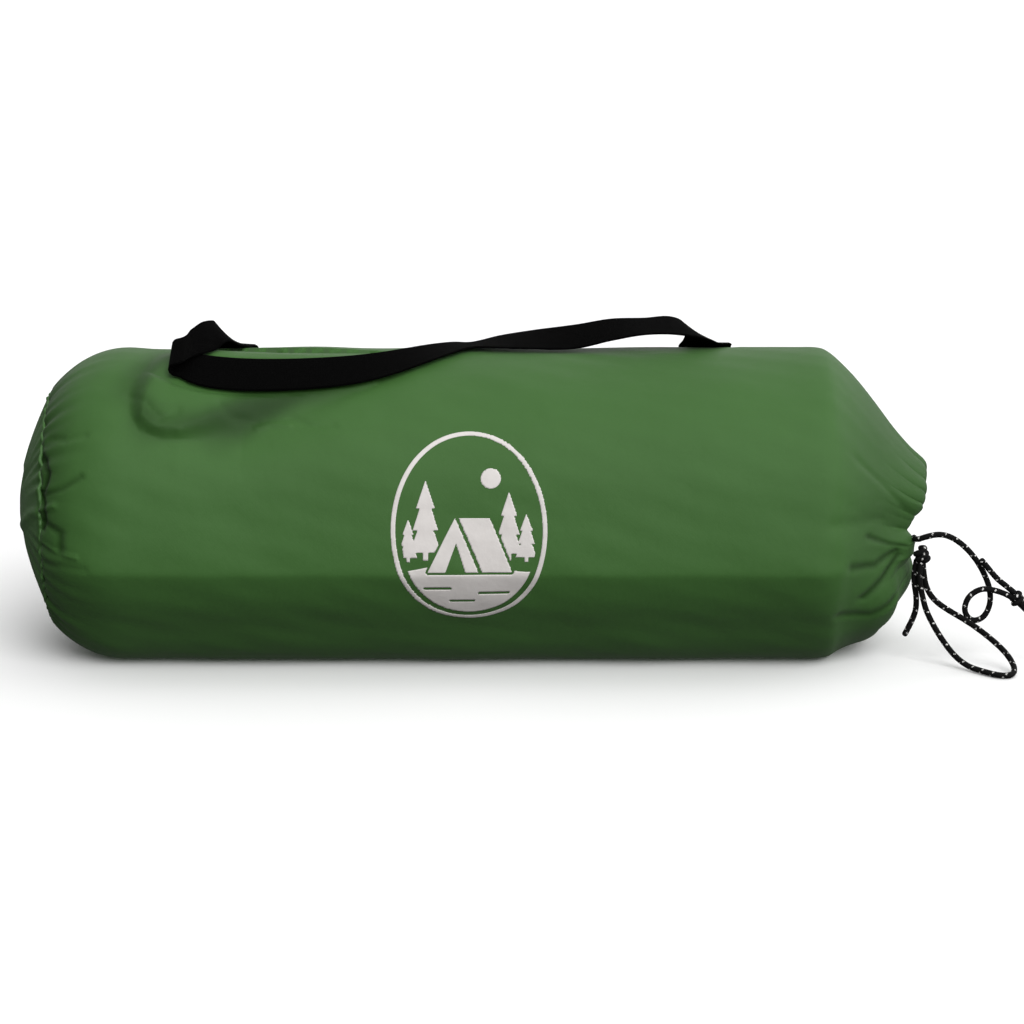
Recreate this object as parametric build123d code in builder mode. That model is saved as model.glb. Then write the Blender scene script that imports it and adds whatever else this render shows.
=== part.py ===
"""A family tent packed in its drawcord carry bag: bag, strap, drawcord, rolled tent, poles and pegs.

Millimetres. +X runs along the bag to its drawn mouth, +Y to the back, +Z up. The bag lies on its
long side with its flat belly on the plane Z = 0, and the origin is under the middle of its length.
"""
from build123d import *
from math import cos, pi, radians, sin, tan
import os

os.makedirs("parts", exist_ok=True)

# ---- driving dimensions: the bag ----
BAG_R = 113.0            # radius of the filled bag
AXIS_Z = 103.5           # height of the bag's axis, so the belly is flattened where it rests
CLOTH = 1.2              # thickness that stands for the coated bag cloth
CORNER_R = 72.0          # rounding between the tube and the sewn end
CORNER_X = -244.0        # where that rounding starts
PANEL_X = -304.0         # seam of the round end panel
PANEL_R = 81.0           # radius of the end panel at its seam
PANEL_TIP_X = -327.0     # outermost point of the end panel
SHOULDER_X = 258.0       # where the tube starts to narrow to the mouth
BINDING = 3.4            # width of the binding tape over the end seam

# ---- the drawn mouth ----
HEM_X, HEM_Z = 311.5, 90.0      # centre of the gathered hem, which sags below the axis
HEM_TILT = 12.0                 # degrees that the hem looks down
HEM_R, HEM_HOLE = 51.0, 14.0    # outside of the bunched hem and the hole left in it
HEM_THICK = 9.0
CHANNEL_R = 40.0                # radius of the ring that the drawcord makes in the hem
CORD_D = 4.2                    # drawcord diameter
CHANNEL_PLAY = 0.7

# ---- the carry strap ----
WEB_W, WEB_T = 38.0, 1.6        # webbing width and thickness
SEW_LEFT_X, SEW_RIGHT_X = -176.0, 166.0
TAB_START, TAB_SWEEP = -19.0, 17.0   # where each sewn-down end starts, and the degrees it covers

# ---- the contents ----
ROLL_R = 106.0                  # rolled tent
ROLL_X0, ROLL_X1 = -268.0, 254.0
ROLL_FLOOR = 3.5
FLY_INNER_R = 72.0              # flysheet wraps the inner tent
TIE_X = (-130.0, 130.0)
TIE_W, TIE_T = 20.0, 1.2
POLE_AXIS_Z, POLE_BAG_R = 120.0, 27.0
PEG_AXIS_Z, PEG_BAG_R = 64.0, 19.0
CORE_GAP = 1.5                  # room round the pole and peg bags inside the roll
SLEEVE = 0.8                    # cloth thickness of the pole and peg bags
POLE_X0, POLE_X1 = -255.0, 250.0
POLE_R, POLE_BORE_R = 3.95, 2.2
FERRULE_R, FERRULE_L = 4.7, 60.0
POLE_PITCH = 9.8
ROWS = (3, 4, 5, 4, 3)          # pole sections side by side in their bundle
POLE_SECTIONS = (7, 7, 5)       # two roof poles and a shorter porch pole
PEG_COUNT, PEG_R, PEG_LENGTH = 10, 2.4, 178.0

BAG_AXIS = Axis((0, 0, AXIS_Z), (1, 0, 0))
HEM_NORMAL = (cos(radians(HEM_TILT)), 0, -sin(radians(HEM_TILT)))
HEM_PLANE = Plane(origin=(HEM_X, 0, HEM_Z), x_dir=(0, 1, 0), z_dir=HEM_NORMAL)


def finish(part, name):
    """Label a finished piece and write it to its own file."""
    part.label = name
    export_step(part, f"parts/{name}.step")


def on_bag(x, angle, lift):
    """The point `lift` outside the bag at `angle` degrees from its top towards the front."""
    turn = radians(angle)
    return (x, -(BAG_R + lift) * sin(turn), AXIS_Z + (BAG_R + lift) * cos(turn))


def barrel(inset):
    """The bag's tube with its rounded end corner, every face moved in by `inset`."""
    with BuildPart() as body:
        with BuildSketch(Plane.XZ):
            with BuildLine():
                corner_z = AXIS_Z + BAG_R - CORNER_R
                arc_r = CORNER_R - inset
                drop = AXIS_Z + PANEL_R - inset - corner_z
                end_x = CORNER_X - (arc_r**2 - drop**2) ** 0.5
                half = radians(35)
                mid = (CORNER_X - arc_r * sin(half), corner_z + arc_r * cos(half))
                Polyline(
                    (end_x, AXIS_Z + PANEL_R - inset),
                    (end_x, AXIS_Z),
                    (SHOULDER_X, AXIS_Z),
                    (SHOULDER_X, AXIS_Z + BAG_R - inset),
                    (CORNER_X, AXIS_Z + BAG_R - inset),
                )
                ThreePointArc(
                    (CORNER_X, AXIS_Z + BAG_R - inset), mid, (end_x, AXIS_Z + PANEL_R - inset)
                )
            make_face()
        revolve(axis=BAG_AXIS)
        split(bisect_by=Plane.XY.offset(inset), keep=Keep.TOP)
    return body.part


def mouth_cone(inset):
    """The cloth that narrows from the shoulder to the gathered hem, moved in by `inset`."""
    with BuildPart() as cone:
        with BuildSketch(Plane.YZ.offset(SHOULDER_X)):
            with Locations((0, AXIS_Z)):
                Circle(BAG_R - inset)
        with BuildSketch(HEM_PLANE.offset(-HEM_THICK / 2 - 0.3)):
            Circle(HEM_R - 1.0 - inset)
        loft(ruled=True)
        split(bisect_by=Plane.XY.offset(inset), keep=Keep.TOP)
    return cone.part


def flat_roll(radius, x0, x1, floor_z):
    """A cylinder along the bag's axis, flattened underneath at floor_z."""
    with BuildPart() as roll:
        with BuildSketch(Plane.YZ.offset(x0)):
            with Locations((0, AXIS_Z)):
                Circle(radius)
        extrude(amount=x1 - x0)
        split(bisect_by=Plane.XY.offset(floor_z), keep=Keep.TOP)
    return roll.part


def arc_plate(x0, x1, angle0, angle1, r0, r1):
    """A plate that follows the bag's round from angle0 to angle1, between radii r0 and r1."""
    turn = radians(angle0)
    start = Plane(origin=(0, 0, AXIS_Z), x_dir=(1, 0, 0), z_dir=(0, -cos(turn), -sin(turn)))
    with BuildPart() as plate:
        with BuildSketch(start):
            with Locations(((x0 + x1) / 2, (r0 + r1) / 2)):
                Rectangle(x1 - x0, r1 - r0)
        revolve(axis=BAG_AXIS, revolution_arc=angle1 - angle0)
    return plate.part


def corner_radii(points):
    """The largest arc at each corner that leaves a tenth of its shorter run straight."""
    radii = []
    for before, corner, after in zip(points, points[1:], points[2:]):
        run_in, run_out = Vector(*corner) - Vector(*before), Vector(*after) - Vector(*corner)
        half_turn = radians(run_in.get_angle(run_out)) / 2
        radii.append(0.45 * min(run_in.length, run_out.length) / tan(half_turn))
    return radii


def cord_tube(name, points):
    """A length of drawcord along straight runs joined by tangent arcs."""
    radii = corner_radii(points)
    with BuildPart() as tube:
        with BuildLine() as route:
            FilletPolyline(*points, radius=radii)
        with BuildSketch(Plane(origin=route.line @ 0, z_dir=route.line % 0)):
            Circle(CORD_D / 2)
        sweep()
    length = route.wire().length
    ratio = tube.part.volume / (pi * (CORD_D / 2) ** 2 * length)
    print(name, "length", round(length, 1), "volume ratio", round(ratio, 4))
    print("   radii", [round(r, 1) for r in radii])
    finish(tube.part, name)


# ---- the carry bag's cloth ----
barrel_outside = barrel(0.0)
barrel_inside = barrel(CLOTH)
with BuildPart() as bag_body:
    add(barrel_outside)
    add(barrel_inside, mode=Mode.SUBTRACT)
    with BuildSketch(Plane.YZ.offset(PANEL_X - 2 * BINDING)):
        with Locations((0, AXIS_Z)):
            Circle(PANEL_R - CLOTH)
    extrude(amount=4 * BINDING, mode=Mode.SUBTRACT)
    split(bisect_by=Plane.YZ.offset(PANEL_X + BINDING / 2), keep=Keep.TOP)
finish(bag_body.part, "bag_body")

panel_x = PANEL_X - BINDING / 2
dome_depth = panel_x - PANEL_TIP_X
dome_r = (PANEL_R**2 + dome_depth**2) / (2 * dome_depth)
with BuildPart(Plane(origin=(PANEL_TIP_X + dome_r, 0, AXIS_Z))) as bag_end_panel:
    Sphere(dome_r)
    split(bisect_by=Plane.YZ.offset(panel_x), keep=Keep.BOTTOM)
    with Locations((CLOTH, 0, 0)):
        Sphere(dome_r, mode=Mode.SUBTRACT)
finish(bag_end_panel.part, "bag_end_panel")

with BuildPart() as end_seam_binding:
    with BuildSketch(Plane.XZ):
        with Locations((PANEL_X, AXIS_Z + PANEL_R - 1.0)):
            RectangleRounded(BINDING - 0.2, 6.0, 1.2)
    revolve(axis=BAG_AXIS)
finish(end_seam_binding.part, "end_seam_binding")

SEAM_ANGLE, SEAM_HALF = -26.5, 2.5
seam = arc_plate(
    CORNER_X, SHOULDER_X, SEAM_ANGLE - SEAM_HALF, SEAM_ANGLE + SEAM_HALF, BAG_R + 0.05, BAG_R + 0.9
)
finish(seam, "lengthwise_seam")

cone_outside = mouth_cone(0.0)
cone_inside = mouth_cone(CLOTH)
with BuildPart() as mouth_gather:
    add(cone_outside)
    add(cone_inside, mode=Mode.SUBTRACT)
    split(bisect_by=Plane.YZ.offset(SHOULDER_X + 0.1), keep=Keep.TOP)
finish(mouth_gather.part, "mouth_gather")

EXIT_PLANE = Plane(origin=(HEM_X, -CHANNEL_R, HEM_Z), x_dir=(1, 0, 0), z_dir=(0, -1, 0))
with BuildPart() as drawcord_hem:
    with BuildSketch(HEM_PLANE.offset(-HEM_THICK / 2)):
        Circle(HEM_R)
        Circle(HEM_HOLE, mode=Mode.SUBTRACT)
    extrude(amount=HEM_THICK)
    fillet(drawcord_hem.edges().filter_by(GeomType.CIRCLE), 3.0)
    channel = Torus(CHANNEL_R, CORD_D / 2 + CHANNEL_PLAY, mode=Mode.PRIVATE)
    add(HEM_PLANE.location * channel, mode=Mode.SUBTRACT)
    with BuildSketch(EXIT_PLANE):
        Circle(CORD_D / 2 + CHANNEL_PLAY)
    extrude(amount=HEM_R, mode=Mode.SUBTRACT)
finish(drawcord_hem.part, "drawcord_hem")

with BuildPart(HEM_PLANE) as drawcord_in_hem:
    Torus(CHANNEL_R, CORD_D / 2)
finish(drawcord_in_hem.part, "drawcord_in_hem")

BADGE_W, BADGE_H, BADGE_Z = 108.0, 131.0, 111.0
badge_skin = arc_plate(-BADGE_W / 2 - 3, BADGE_W / 2 - 3, 40, 132, BAG_R + 0.05, BAG_R + 0.35)
with BuildPart() as printed_badge:
    add(badge_skin)
    with BuildSketch(Plane.XZ):
        with Locations((-3.0, BADGE_Z)):
            Ellipse(BADGE_W / 2, BADGE_H / 2)
    extrude(amount=2 * BAG_R, mode=Mode.INTERSECT)
finish(printed_badge.part, "printed_badge")

# ---- the drawcord's free ends: knots and tubes along hand-laid routes ----
EXIT_KNOT = (316.0, -54.0, 80.0)
END_KNOT = (384.5, -55.0, 47.5)
SPRUNG_END = [
    (311.5, -41.8, 90.0), (311.5, -52.5, 90.1), (318.5, -57.0, 94.0), (328.0, -56.0, 95.8),
    (337.0, -54.0, 93.0), (346.0, -53.5, 86.5), (354.5, -53.0, 77.0), (361.0, -52.5, 66.0),
    (365.5, -52.0, 54.5), (366.2, -52.0, 43.0), (361.5, -52.5, 33.0), (352.5, -54.5, 31.2),
    (346.5, -57.0, 39.5), (349.0, -59.0, 51.0), (358.5, -59.0, 57.0), (368.5, -57.5, 55.0),
    (377.0, -56.0, 51.5), (383.0, -55.0, 47.5), (389.5, -55.0, 41.5), (396.5, -56.5, 34.5),
    (403.0, -59.0, 26.0), (407.0, -62.0, 16.0), (409.0, -67.0, 7.0), (409.5, -75.5, 2.6),
    (407.0, -86.0, 2.4), (401.5, -95.0, 2.4),
]
BOW_LOOP = [
    (315.5, -55.0, 77.0), (314.6, -56.0, 70.0), (314.8, -56.5, 61.0), (317.0, -57.0, 51.0),
    (319.5, -58.0, 41.0), (325.0, -60.5, 30.0), (332.0, -63.0, 19.0), (340.0, -66.5, 9.0),
    (349.0, -73.0, 3.2), (358.5, -83.0, 2.6), (368.0, -92.0, 2.5), (376.0, -93.0, 2.6),
    (380.0, -86.5, 3.2), (380.5, -78.0, 6.0), (376.0, -71.0, 12.5), (368.0, -66.0, 19.5),
    (358.0, -62.0, 27.0), (347.0, -59.0, 34.0), (336.0, -57.0, 40.0), (326.0, -54.5, 46.5),
    (320.5, -52.0, 54.5), (318.5, -51.0, 64.0), (317.5, -52.5, 72.0), (317.0, -53.5, 77.5),
]
SHORT_TAIL = [
    (313.0, -53.5, 77.5), (311.5, -52.5, 69.0), (311.5, -52.0, 59.0), (313.5, -52.0, 48.5),
    (313.5, -51.5, 38.5), (310.0, -50.5, 28.5), (305.5, -49.5, 19.0),
]
TURNED_BACK_END = [
    (383.5, -55.0, 51.5), (377.0, -54.5, 57.0), (370.0, -56.0, 62.5), (363.5, -58.0, 70.5),
    (357.0, -59.0, 78.5),
]
cord_tube("drawcord_sprung_end", SPRUNG_END)
cord_tube("drawcord_bow_loop", BOW_LOOP)
cord_tube("drawcord_short_tail", SHORT_TAIL)
cord_tube("drawcord_turned_back_end", TURNED_BACK_END)

KNOT_SIZES = {"exit_knot": (EXIT_KNOT, 6.0, 7.5), "end_knot": (END_KNOT, 5.6, 8.0)}
for knot_name, (knot_at, knot_r, knot_half) in KNOT_SIZES.items():
    with BuildPart() as knot:
        with BuildSketch(Plane(origin=knot_at, z_dir=(0.35, 0, -0.94))):
            Circle(knot_r)
        extrude(amount=knot_half, both=True)
        fillet(knot.edges(), knot_r * 0.6)
    finish(knot.part, knot_name)

# ---- the carry strap: webbing lofted through stations of centre and width direction ----
LIE = WEB_T / 2 + 1.2            # the lying webbing's centre stands this far off the bag
FREE_STATIONS = [                # left end: up from the seam, over and off to the left
    ((-176.0, 28.0, 218.2), (1.0, 0.0, 0.0)),
    ((-177.0, 26.5, 223.5), (0.97, -0.24, 0.02)),
    ((-180.0, 19.0, 228.0), (0.80, -0.60, 0.0)),
    ((-186.5, 6.0, 230.5), (0.55, -0.83, -0.06)),
    ((-196.0, -9.0, 229.5), (0.28, -0.95, -0.13)),
    ((-205.0, -20.0, 226.6), (0.10, -0.97, -0.21)),
]
FOLD_X, FOLD_ANGLE, FOLD_R = -212.0, 13.5, 4.5
FOLD_STEPS = 6                   # stations round the U-turn at the left
LYING_STATIONS = [               # along the front: x, angle from the top
    (-200.0, 18.0), (-187.0, 21.0), (-173.0, 22.5), (-134.0, 22.0), (-108.0, 20.8),
    (-83.0, 18.8), (-66.0, 16.0), (-49.0, 12.0), (-32.0, 6.5), (-16.0, 0.0), (-2.0, -6.0),
]
RISING_STATIONS = [              # right part: standing off the top, then turned down to the seam
    ((18.0, 11.0, 220.3), (0.0, -0.999, -0.04)),
    ((39.5, 10.0, 222.0), (0.0, -0.987, -0.16)),
    ((73.0, 10.0, 224.5), (0.0, -0.96, -0.28)),
    ((98.5, 10.0, 229.5), (0.0, -0.973, -0.23)),
    ((122.0, 10.0, 231.8), (0.0, -0.991, -0.13)),
    ((144.0, 10.5, 232.4), (0.12, -0.97, -0.20)),
    ((156.0, 13.0, 231.0), (0.42, -0.90, -0.12)),
    ((163.5, 19.0, 227.5), (0.76, -0.65, 0.0)),
    ((166.0, 25.5, 223.0), (0.96, -0.28, 0.0)),
    ((166.0, 28.0, 218.2), (1.0, 0.0, 0.0)),
]


def webbing_sections():
    """The strap's centre points and width directions from one sewn end to the other."""
    turn = radians(FOLD_ANGLE)
    across, outward = (0.0, -cos(turn), -sin(turn)), (0.0, -sin(turn), cos(turn))
    middle = Vector(*on_bag(FOLD_X, FOLD_ANGLE, LIE + FOLD_R))
    folded = []
    for k in range(FOLD_STEPS + 1):
        bend = pi * k / FOLD_STEPS
        offset = Vector(-sin(bend), 0, 0) + Vector(*outward) * cos(bend)
        folded.append((tuple(middle + offset * FOLD_R), across))
    lying = []
    for x, angle in LYING_STATIONS:
        turn = radians(angle)
        lying.append((on_bag(x, angle, LIE), (0.0, -cos(turn), -sin(turn))))
    return FREE_STATIONS + folded + lying + RISING_STATIONS


sections = webbing_sections()
centres = [Vector(*centre) for centre, _ in sections]
section_planes = []
for i, (centre, across) in enumerate(sections):
    ahead = centres[min(i + 1, len(centres) - 1)] - centres[max(i - 1, 0)]
    if i == 0:
        ahead = Vector(0, 0, 1)
    if i == len(centres) - 1:
        ahead = Vector(0, 0, -1)
    across = Vector(*across)
    normal = ahead.cross(across)
    section_planes.append(Plane(origin=centre, x_dir=across, z_dir=across.cross(normal)))
with BuildPart() as carry_strap:
    for here, following in zip(section_planes, section_planes[1:]):
        with BuildSketch(here):
            Rectangle(WEB_W, WEB_T)
        with BuildSketch(following):
            Rectangle(WEB_W, WEB_T)
        loft(ruled=True)
strap_length = sum((b - a).length for a, b in zip(centres, centres[1:]))
print("free strap length", round(strap_length, 1), "volume ratio",
      round(carry_strap.part.volume / (WEB_W * WEB_T * strap_length), 3))
finish(carry_strap.part, "carry_strap")

TAB_GAP = 1.2                    # the sewn end lies over the lengthwise seam
for side, sew_x in (("left", SEW_LEFT_X), ("right", SEW_RIGHT_X)):
    tab = arc_plate(
        sew_x - WEB_W / 2, sew_x + WEB_W / 2, TAB_START - TAB_SWEEP, TAB_START,
        BAG_R + TAB_GAP, BAG_R + TAB_GAP + WEB_T,
    )
    finish(tab, f"strap_sewn_end_{side}")

STITCH_ANGLES = (-22.0, -26.0, -30.0, -34.0)
with BuildPart() as strap_bar_tacks:
    for sew_x in (SEW_LEFT_X, SEW_RIGHT_X):
        for angle in STITCH_ANGLES:
            at = on_bag(sew_x, angle, TAB_GAP + WEB_T + 0.35)
            tilt = radians(angle)
            out = (0, -sin(tilt), cos(tilt))
            with BuildSketch(Plane(origin=at, x_dir=(1, 0, 0), z_dir=out)):
                SlotOverall(WEB_W - 6.0, 1.6)
            extrude(amount=0.3, both=True)
finish(strap_bar_tacks.part, "strap_bar_tacks")

# ---- the rolled tent ----
roll_outside = flat_roll(ROLL_R, ROLL_X0, ROLL_X1, ROLL_FLOOR)
with BuildPart() as flysheet_roll:
    add(roll_outside)
    with BuildSketch(Plane.YZ.offset(ROLL_X0)):
        with Locations((0, AXIS_Z)):
            Circle(FLY_INNER_R)
    extrude(amount=ROLL_X1 - ROLL_X0, mode=Mode.SUBTRACT)
finish(flysheet_roll.part, "flysheet_roll")

with BuildPart() as inner_tent_roll:
    with BuildSketch(Plane.YZ.offset(ROLL_X0 + 4.0)):
        with Locations((0, AXIS_Z)):
            Circle(FLY_INNER_R - 0.4)
        with Locations((0, POLE_AXIS_Z)):
            Circle(POLE_BAG_R + CORE_GAP, mode=Mode.SUBTRACT)
        with Locations((0, PEG_AXIS_Z)):
            Circle(PEG_BAG_R + CORE_GAP, mode=Mode.SUBTRACT)
    extrude(amount=ROLL_X1 - ROLL_X0 - 8.0)
finish(inner_tent_roll.part, "inner_tent_roll")

for side, tie_x in zip(("left", "right"), TIE_X):
    tie_outside = flat_roll(
        ROLL_R + 0.2 + TIE_T, tie_x - TIE_W / 2, tie_x + TIE_W / 2, ROLL_FLOOR - 0.1 - TIE_T
    )
    tie_inside = flat_roll(ROLL_R + 0.2, tie_x - TIE_W, tie_x + TIE_W, ROLL_FLOOR - 0.1)
    with BuildPart() as roll_tie:
        add(tie_outside)
        add(tie_inside, mode=Mode.SUBTRACT)
    finish(roll_tie.part, f"roll_tie_{side}")

# ---- the pole bundle ----
def grid_places():
    """Section centres row by row through the bundle, each next to the one before it."""
    places = []
    row_step = POLE_PITCH * 3**0.5 / 2
    for row, count in enumerate(ROWS):
        z = (row - (len(ROWS) - 1) / 2) * row_step
        ys = [(k - (count - 1) / 2) * POLE_PITCH for k in range(count)]
        if row % 2:
            ys.reverse()
        places += [(y, z) for y in ys]
    return places


def hollow_bar(x0, x1, outer_r, inner_r, places, centre_z):
    """Straight tubes along X, one at each place."""
    with BuildPart() as bars:
        for y, z in places:
            with BuildSketch(Plane.YZ.offset(x0)):
                with Locations((y, centre_z + z)):
                    Circle(outer_r)
                    Circle(inner_r, mode=Mode.SUBTRACT)
            extrude(amount=x1 - x0)
    return bars.part


def sleeve(x0, x1, radius, neck_r, neck_length, centre_z):
    """A round cloth sleeve closed at x0 and gathered to a tied neck at x1."""
    with BuildPart() as tube:
        with BuildSketch(Plane.XZ):
            with BuildLine():
                neck_x = x1 - neck_length
                Polyline(
                    (x0, centre_z), (x0, centre_z + radius), (neck_x, centre_z + radius),
                    (x1 - neck_length / 3, centre_z + neck_r), (x1, centre_z + neck_r * 1.5),
                    (x1, centre_z), (x1 - 1.0, centre_z),
                    (x1 - 1.0 - neck_length / 3, centre_z + neck_r - SLEEVE),
                    (neck_x, centre_z + radius - SLEEVE),
                    (x0 + SLEEVE, centre_z + radius - SLEEVE), (x0 + SLEEVE, centre_z),
                    close=True,
                )
            make_face()
        revolve(axis=Axis((0, 0, centre_z), (1, 0, 0)))
    return tube.part


section_places = grid_places()
finish(hollow_bar(POLE_X0, POLE_X1, POLE_R, POLE_BORE_R, section_places, POLE_AXIS_Z), "pole_sections")

with BuildPart() as pole_ferrules:
    for i, (y, z) in enumerate(section_places):
        start_x = POLE_X1 - FERRULE_L if i % 2 else POLE_X0
        with BuildSketch(Plane.YZ.offset(start_x)):
            with Locations((y, POLE_AXIS_Z + z)):
                Circle(FERRULE_R)
                Circle(POLE_R + 0.02, mode=Mode.SUBTRACT)
        extrude(amount=FERRULE_L)
finish(pole_ferrules.part, "pole_ferrules")

first_sections = [sum(POLE_SECTIONS[:k]) for k in range(len(POLE_SECTIONS))]
last_sections = [sum(POLE_SECTIONS[: k + 1]) - 1 for k in range(len(POLE_SECTIONS))]
ELASTIC_R = 1.3
with BuildPart() as shock_cord:
    for i in range(len(section_places) - 1):
        if i in last_sections:
            continue
        (y0, z0), (y1, z1) = section_places[i], section_places[i + 1]
        end_x = POLE_X1 if i % 2 else POLE_X0
        out = 1 if i % 2 else -1
        with BuildLine() as loop:
            Polyline((out * 1.0, y0, POLE_AXIS_Z + z0), (end_x, y0, POLE_AXIS_Z + z0))
            ThreePointArc(
                (end_x, y0, POLE_AXIS_Z + z0),
                (end_x + out * POLE_PITCH / 2, (y0 + y1) / 2, POLE_AXIS_Z + (z0 + z1) / 2),
                (end_x, y1, POLE_AXIS_Z + z1),
            )
            Polyline((end_x, y1, POLE_AXIS_Z + z1), (out * 1.0, y1, POLE_AXIS_Z + z1))
        with BuildSketch(Plane(origin=loop.line @ 0, z_dir=loop.line % 0)):
            Circle(ELASTIC_R)
        sweep(path=loop.wire())
finish(shock_cord.part, "shock_cord")

TIP_R, TIP_OUT, TIP_IN = 2.1, 9.0, 25.0
with BuildPart() as pole_end_tips:
    for i in first_sections + last_sections:
        y, z = section_places[i]
        # the free end of a first section is opposite the end that its shock cord turns at
        turns_at_right = i % 2 if i in first_sections else (i - 1) % 2
        start_x = POLE_X0 - TIP_OUT if turns_at_right else POLE_X1 - TIP_IN
        with BuildSketch(Plane.YZ.offset(start_x)):
            with Locations((y, POLE_AXIS_Z + z)):
                Circle(TIP_R)
                Circle(ELASTIC_R + 0.1, mode=Mode.SUBTRACT)
        extrude(amount=TIP_OUT + TIP_IN)
finish(pole_end_tips.part, "pole_end_tips")

POLE_BAG_X0, POLE_BAG_X1 = -266.0, 296.0
PEG_BAG_X0, PEG_BAG_X1 = 48.0, 272.0
finish(sleeve(POLE_BAG_X0, POLE_BAG_X1, POLE_BAG_R, 8.0, 30.0, POLE_AXIS_Z), "pole_bag")
finish(sleeve(PEG_BAG_X0, PEG_BAG_X1, PEG_BAG_R, 6.0, 24.0, PEG_AXIS_Z), "peg_bag")

TIES = {
    "pole_bag_tie": (POLE_BAG_X1 - 10.0, 8.0, POLE_AXIS_Z),
    "peg_bag_tie": (PEG_BAG_X1 - 8.0, 6.0, PEG_AXIS_Z),
}
TIE_CORD_R = 1.25
for tie_name, (tie_at, neck_r, tie_z) in TIES.items():
    with BuildPart(Plane(origin=(tie_at, 0, tie_z), z_dir=(1, 0, 0))) as neck_tie:
        Torus(neck_r + TIE_CORD_R + 0.1, TIE_CORD_R)
    finish(neck_tie.part, tie_name)

# ---- the pegs: round steel with a hooked top ----
PEG_RING_R, HOOK_R, PEG_START = 10.4, 3.4, 55.0
with BuildPart() as pegs:
    for k in range(PEG_COUNT):
        turn = 2 * pi * k / PEG_COUNT
        out = Vector(0, cos(turn), sin(turn))
        foot = Vector(PEG_START, 0, PEG_AXIS_Z) + out * PEG_RING_R
        head = foot + Vector(PEG_LENGTH, 0, 0)
        with BuildLine() as peg_line:
            Line(foot, head)
            ThreePointArc(
                head,
                head + Vector(HOOK_R * sin(pi / 4), 0, 0) + out * HOOK_R * (1 - cos(pi / 4)),
                head + Vector(HOOK_R, 0, 0) + out * HOOK_R,
            )
        with BuildSketch(Plane(origin=foot, z_dir=(1, 0, 0))):
            Circle(PEG_R)
        sweep(path=peg_line.wire())
finish(pegs.part, "pegs")
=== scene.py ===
# %% [markdown]
# # A packed tent in its carry bag
# The object is a round stuff sack of green coated polyester, packed tight with a rolled tent. A black
# webbing strap is sewn to its top, and a braided drawcord closes its mouth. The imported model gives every
# place and every joint; this file makes the cloth, the webbing, the cord and their finishes around it.

# %% Load the frame
import bpy
import math
import numpy as np
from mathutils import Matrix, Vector


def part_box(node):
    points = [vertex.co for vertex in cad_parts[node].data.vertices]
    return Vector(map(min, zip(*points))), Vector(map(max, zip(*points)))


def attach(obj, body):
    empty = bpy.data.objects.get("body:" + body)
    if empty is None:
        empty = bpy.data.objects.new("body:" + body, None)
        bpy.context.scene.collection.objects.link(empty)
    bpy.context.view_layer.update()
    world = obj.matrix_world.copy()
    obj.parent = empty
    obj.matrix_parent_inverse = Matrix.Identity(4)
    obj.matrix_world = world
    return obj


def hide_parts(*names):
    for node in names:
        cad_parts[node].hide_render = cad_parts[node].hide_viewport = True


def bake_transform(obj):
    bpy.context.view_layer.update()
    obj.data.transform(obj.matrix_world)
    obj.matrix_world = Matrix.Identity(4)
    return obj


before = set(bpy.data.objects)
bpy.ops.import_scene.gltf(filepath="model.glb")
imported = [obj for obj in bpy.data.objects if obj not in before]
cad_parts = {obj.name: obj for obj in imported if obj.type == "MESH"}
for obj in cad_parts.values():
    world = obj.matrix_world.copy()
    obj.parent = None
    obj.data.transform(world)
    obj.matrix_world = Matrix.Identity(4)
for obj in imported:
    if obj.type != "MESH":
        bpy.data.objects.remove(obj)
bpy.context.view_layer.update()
MM = 0.001

# %% [markdown]
# ## Camera
# A long lens from 2.6 m keeps the bag's straight sides straight. The camera stands in front of the
# printed side, 14 degrees above it, and looks at a point a little past the bag's middle, so that the free
# cord at the mouth has room.

# %% Camera
CAMERA_RISE = math.radians(14.0)
CAMERA_DISTANCE = 2.6
VIEW_WIDTH = 0.7373
view_centre = Vector((0.0266, 0.0, 0.0977))
camera_data = bpy.data.cameras.new("camera")
camera_data.sensor_width = 36.0
camera_data.lens = camera_data.sensor_width * CAMERA_DISTANCE / VIEW_WIDTH
camera = bpy.data.objects.new("camera", camera_data)
away = Vector((0.0, -math.cos(CAMERA_RISE), math.sin(CAMERA_RISE)))
camera.location = view_centre + away * CAMERA_DISTANCE
camera.rotation_euler = (math.pi / 2 - CAMERA_RISE, 0.0, 0.0)
bpy.context.scene.collection.objects.link(camera)
bpy.context.scene.camera = camera
bpy.context.scene.view_settings.view_transform = "Standard"
print("camera at", [round(v, 3) for v in camera.location])

# %% [markdown]
# ## Helpers for meshes
# Almost every piece here is a grid: rows of points along the piece, columns around or across it. One
# helper turns such a grid into a mesh with a UV map in metres, so that every weave has its real scale.

# %% Mesh helpers
def add_mesh(name, vertices, faces, uv=None):
    """A smooth-shaded object from vertex and face arrays, with an optional UV for each face corner."""
    mesh = bpy.data.meshes.new(name)
    mesh.from_pydata(vertices.reshape(-1, 3).tolist(), [], faces.tolist())
    if uv is not None:
        layer = mesh.uv_layers.new(name="UVMap")
        layer.data.foreach_set("uv", uv.reshape(-1).astype(np.float32))
    mesh.polygons.foreach_set("use_smooth", np.ones(len(mesh.polygons), bool))
    mesh.update()
    made = bpy.data.objects.new(name, mesh)
    bpy.context.scene.collection.objects.link(made)
    return made


def grid_faces(rows, columns, closed):
    """Quads between neighbouring rows and columns; with closed, the last column joins the first."""
    i, j = np.meshgrid(
        np.arange(rows - 1), np.arange(columns if closed else columns - 1), indexing="ij"
    )
    after = (j + 1) % columns
    quads = [i * columns + j, i * columns + after, (i + 1) * columns + after, (i + 1) * columns + j]
    return np.stack(quads, -1).reshape(-1, 4), i.ravel(), j.ravel()


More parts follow.
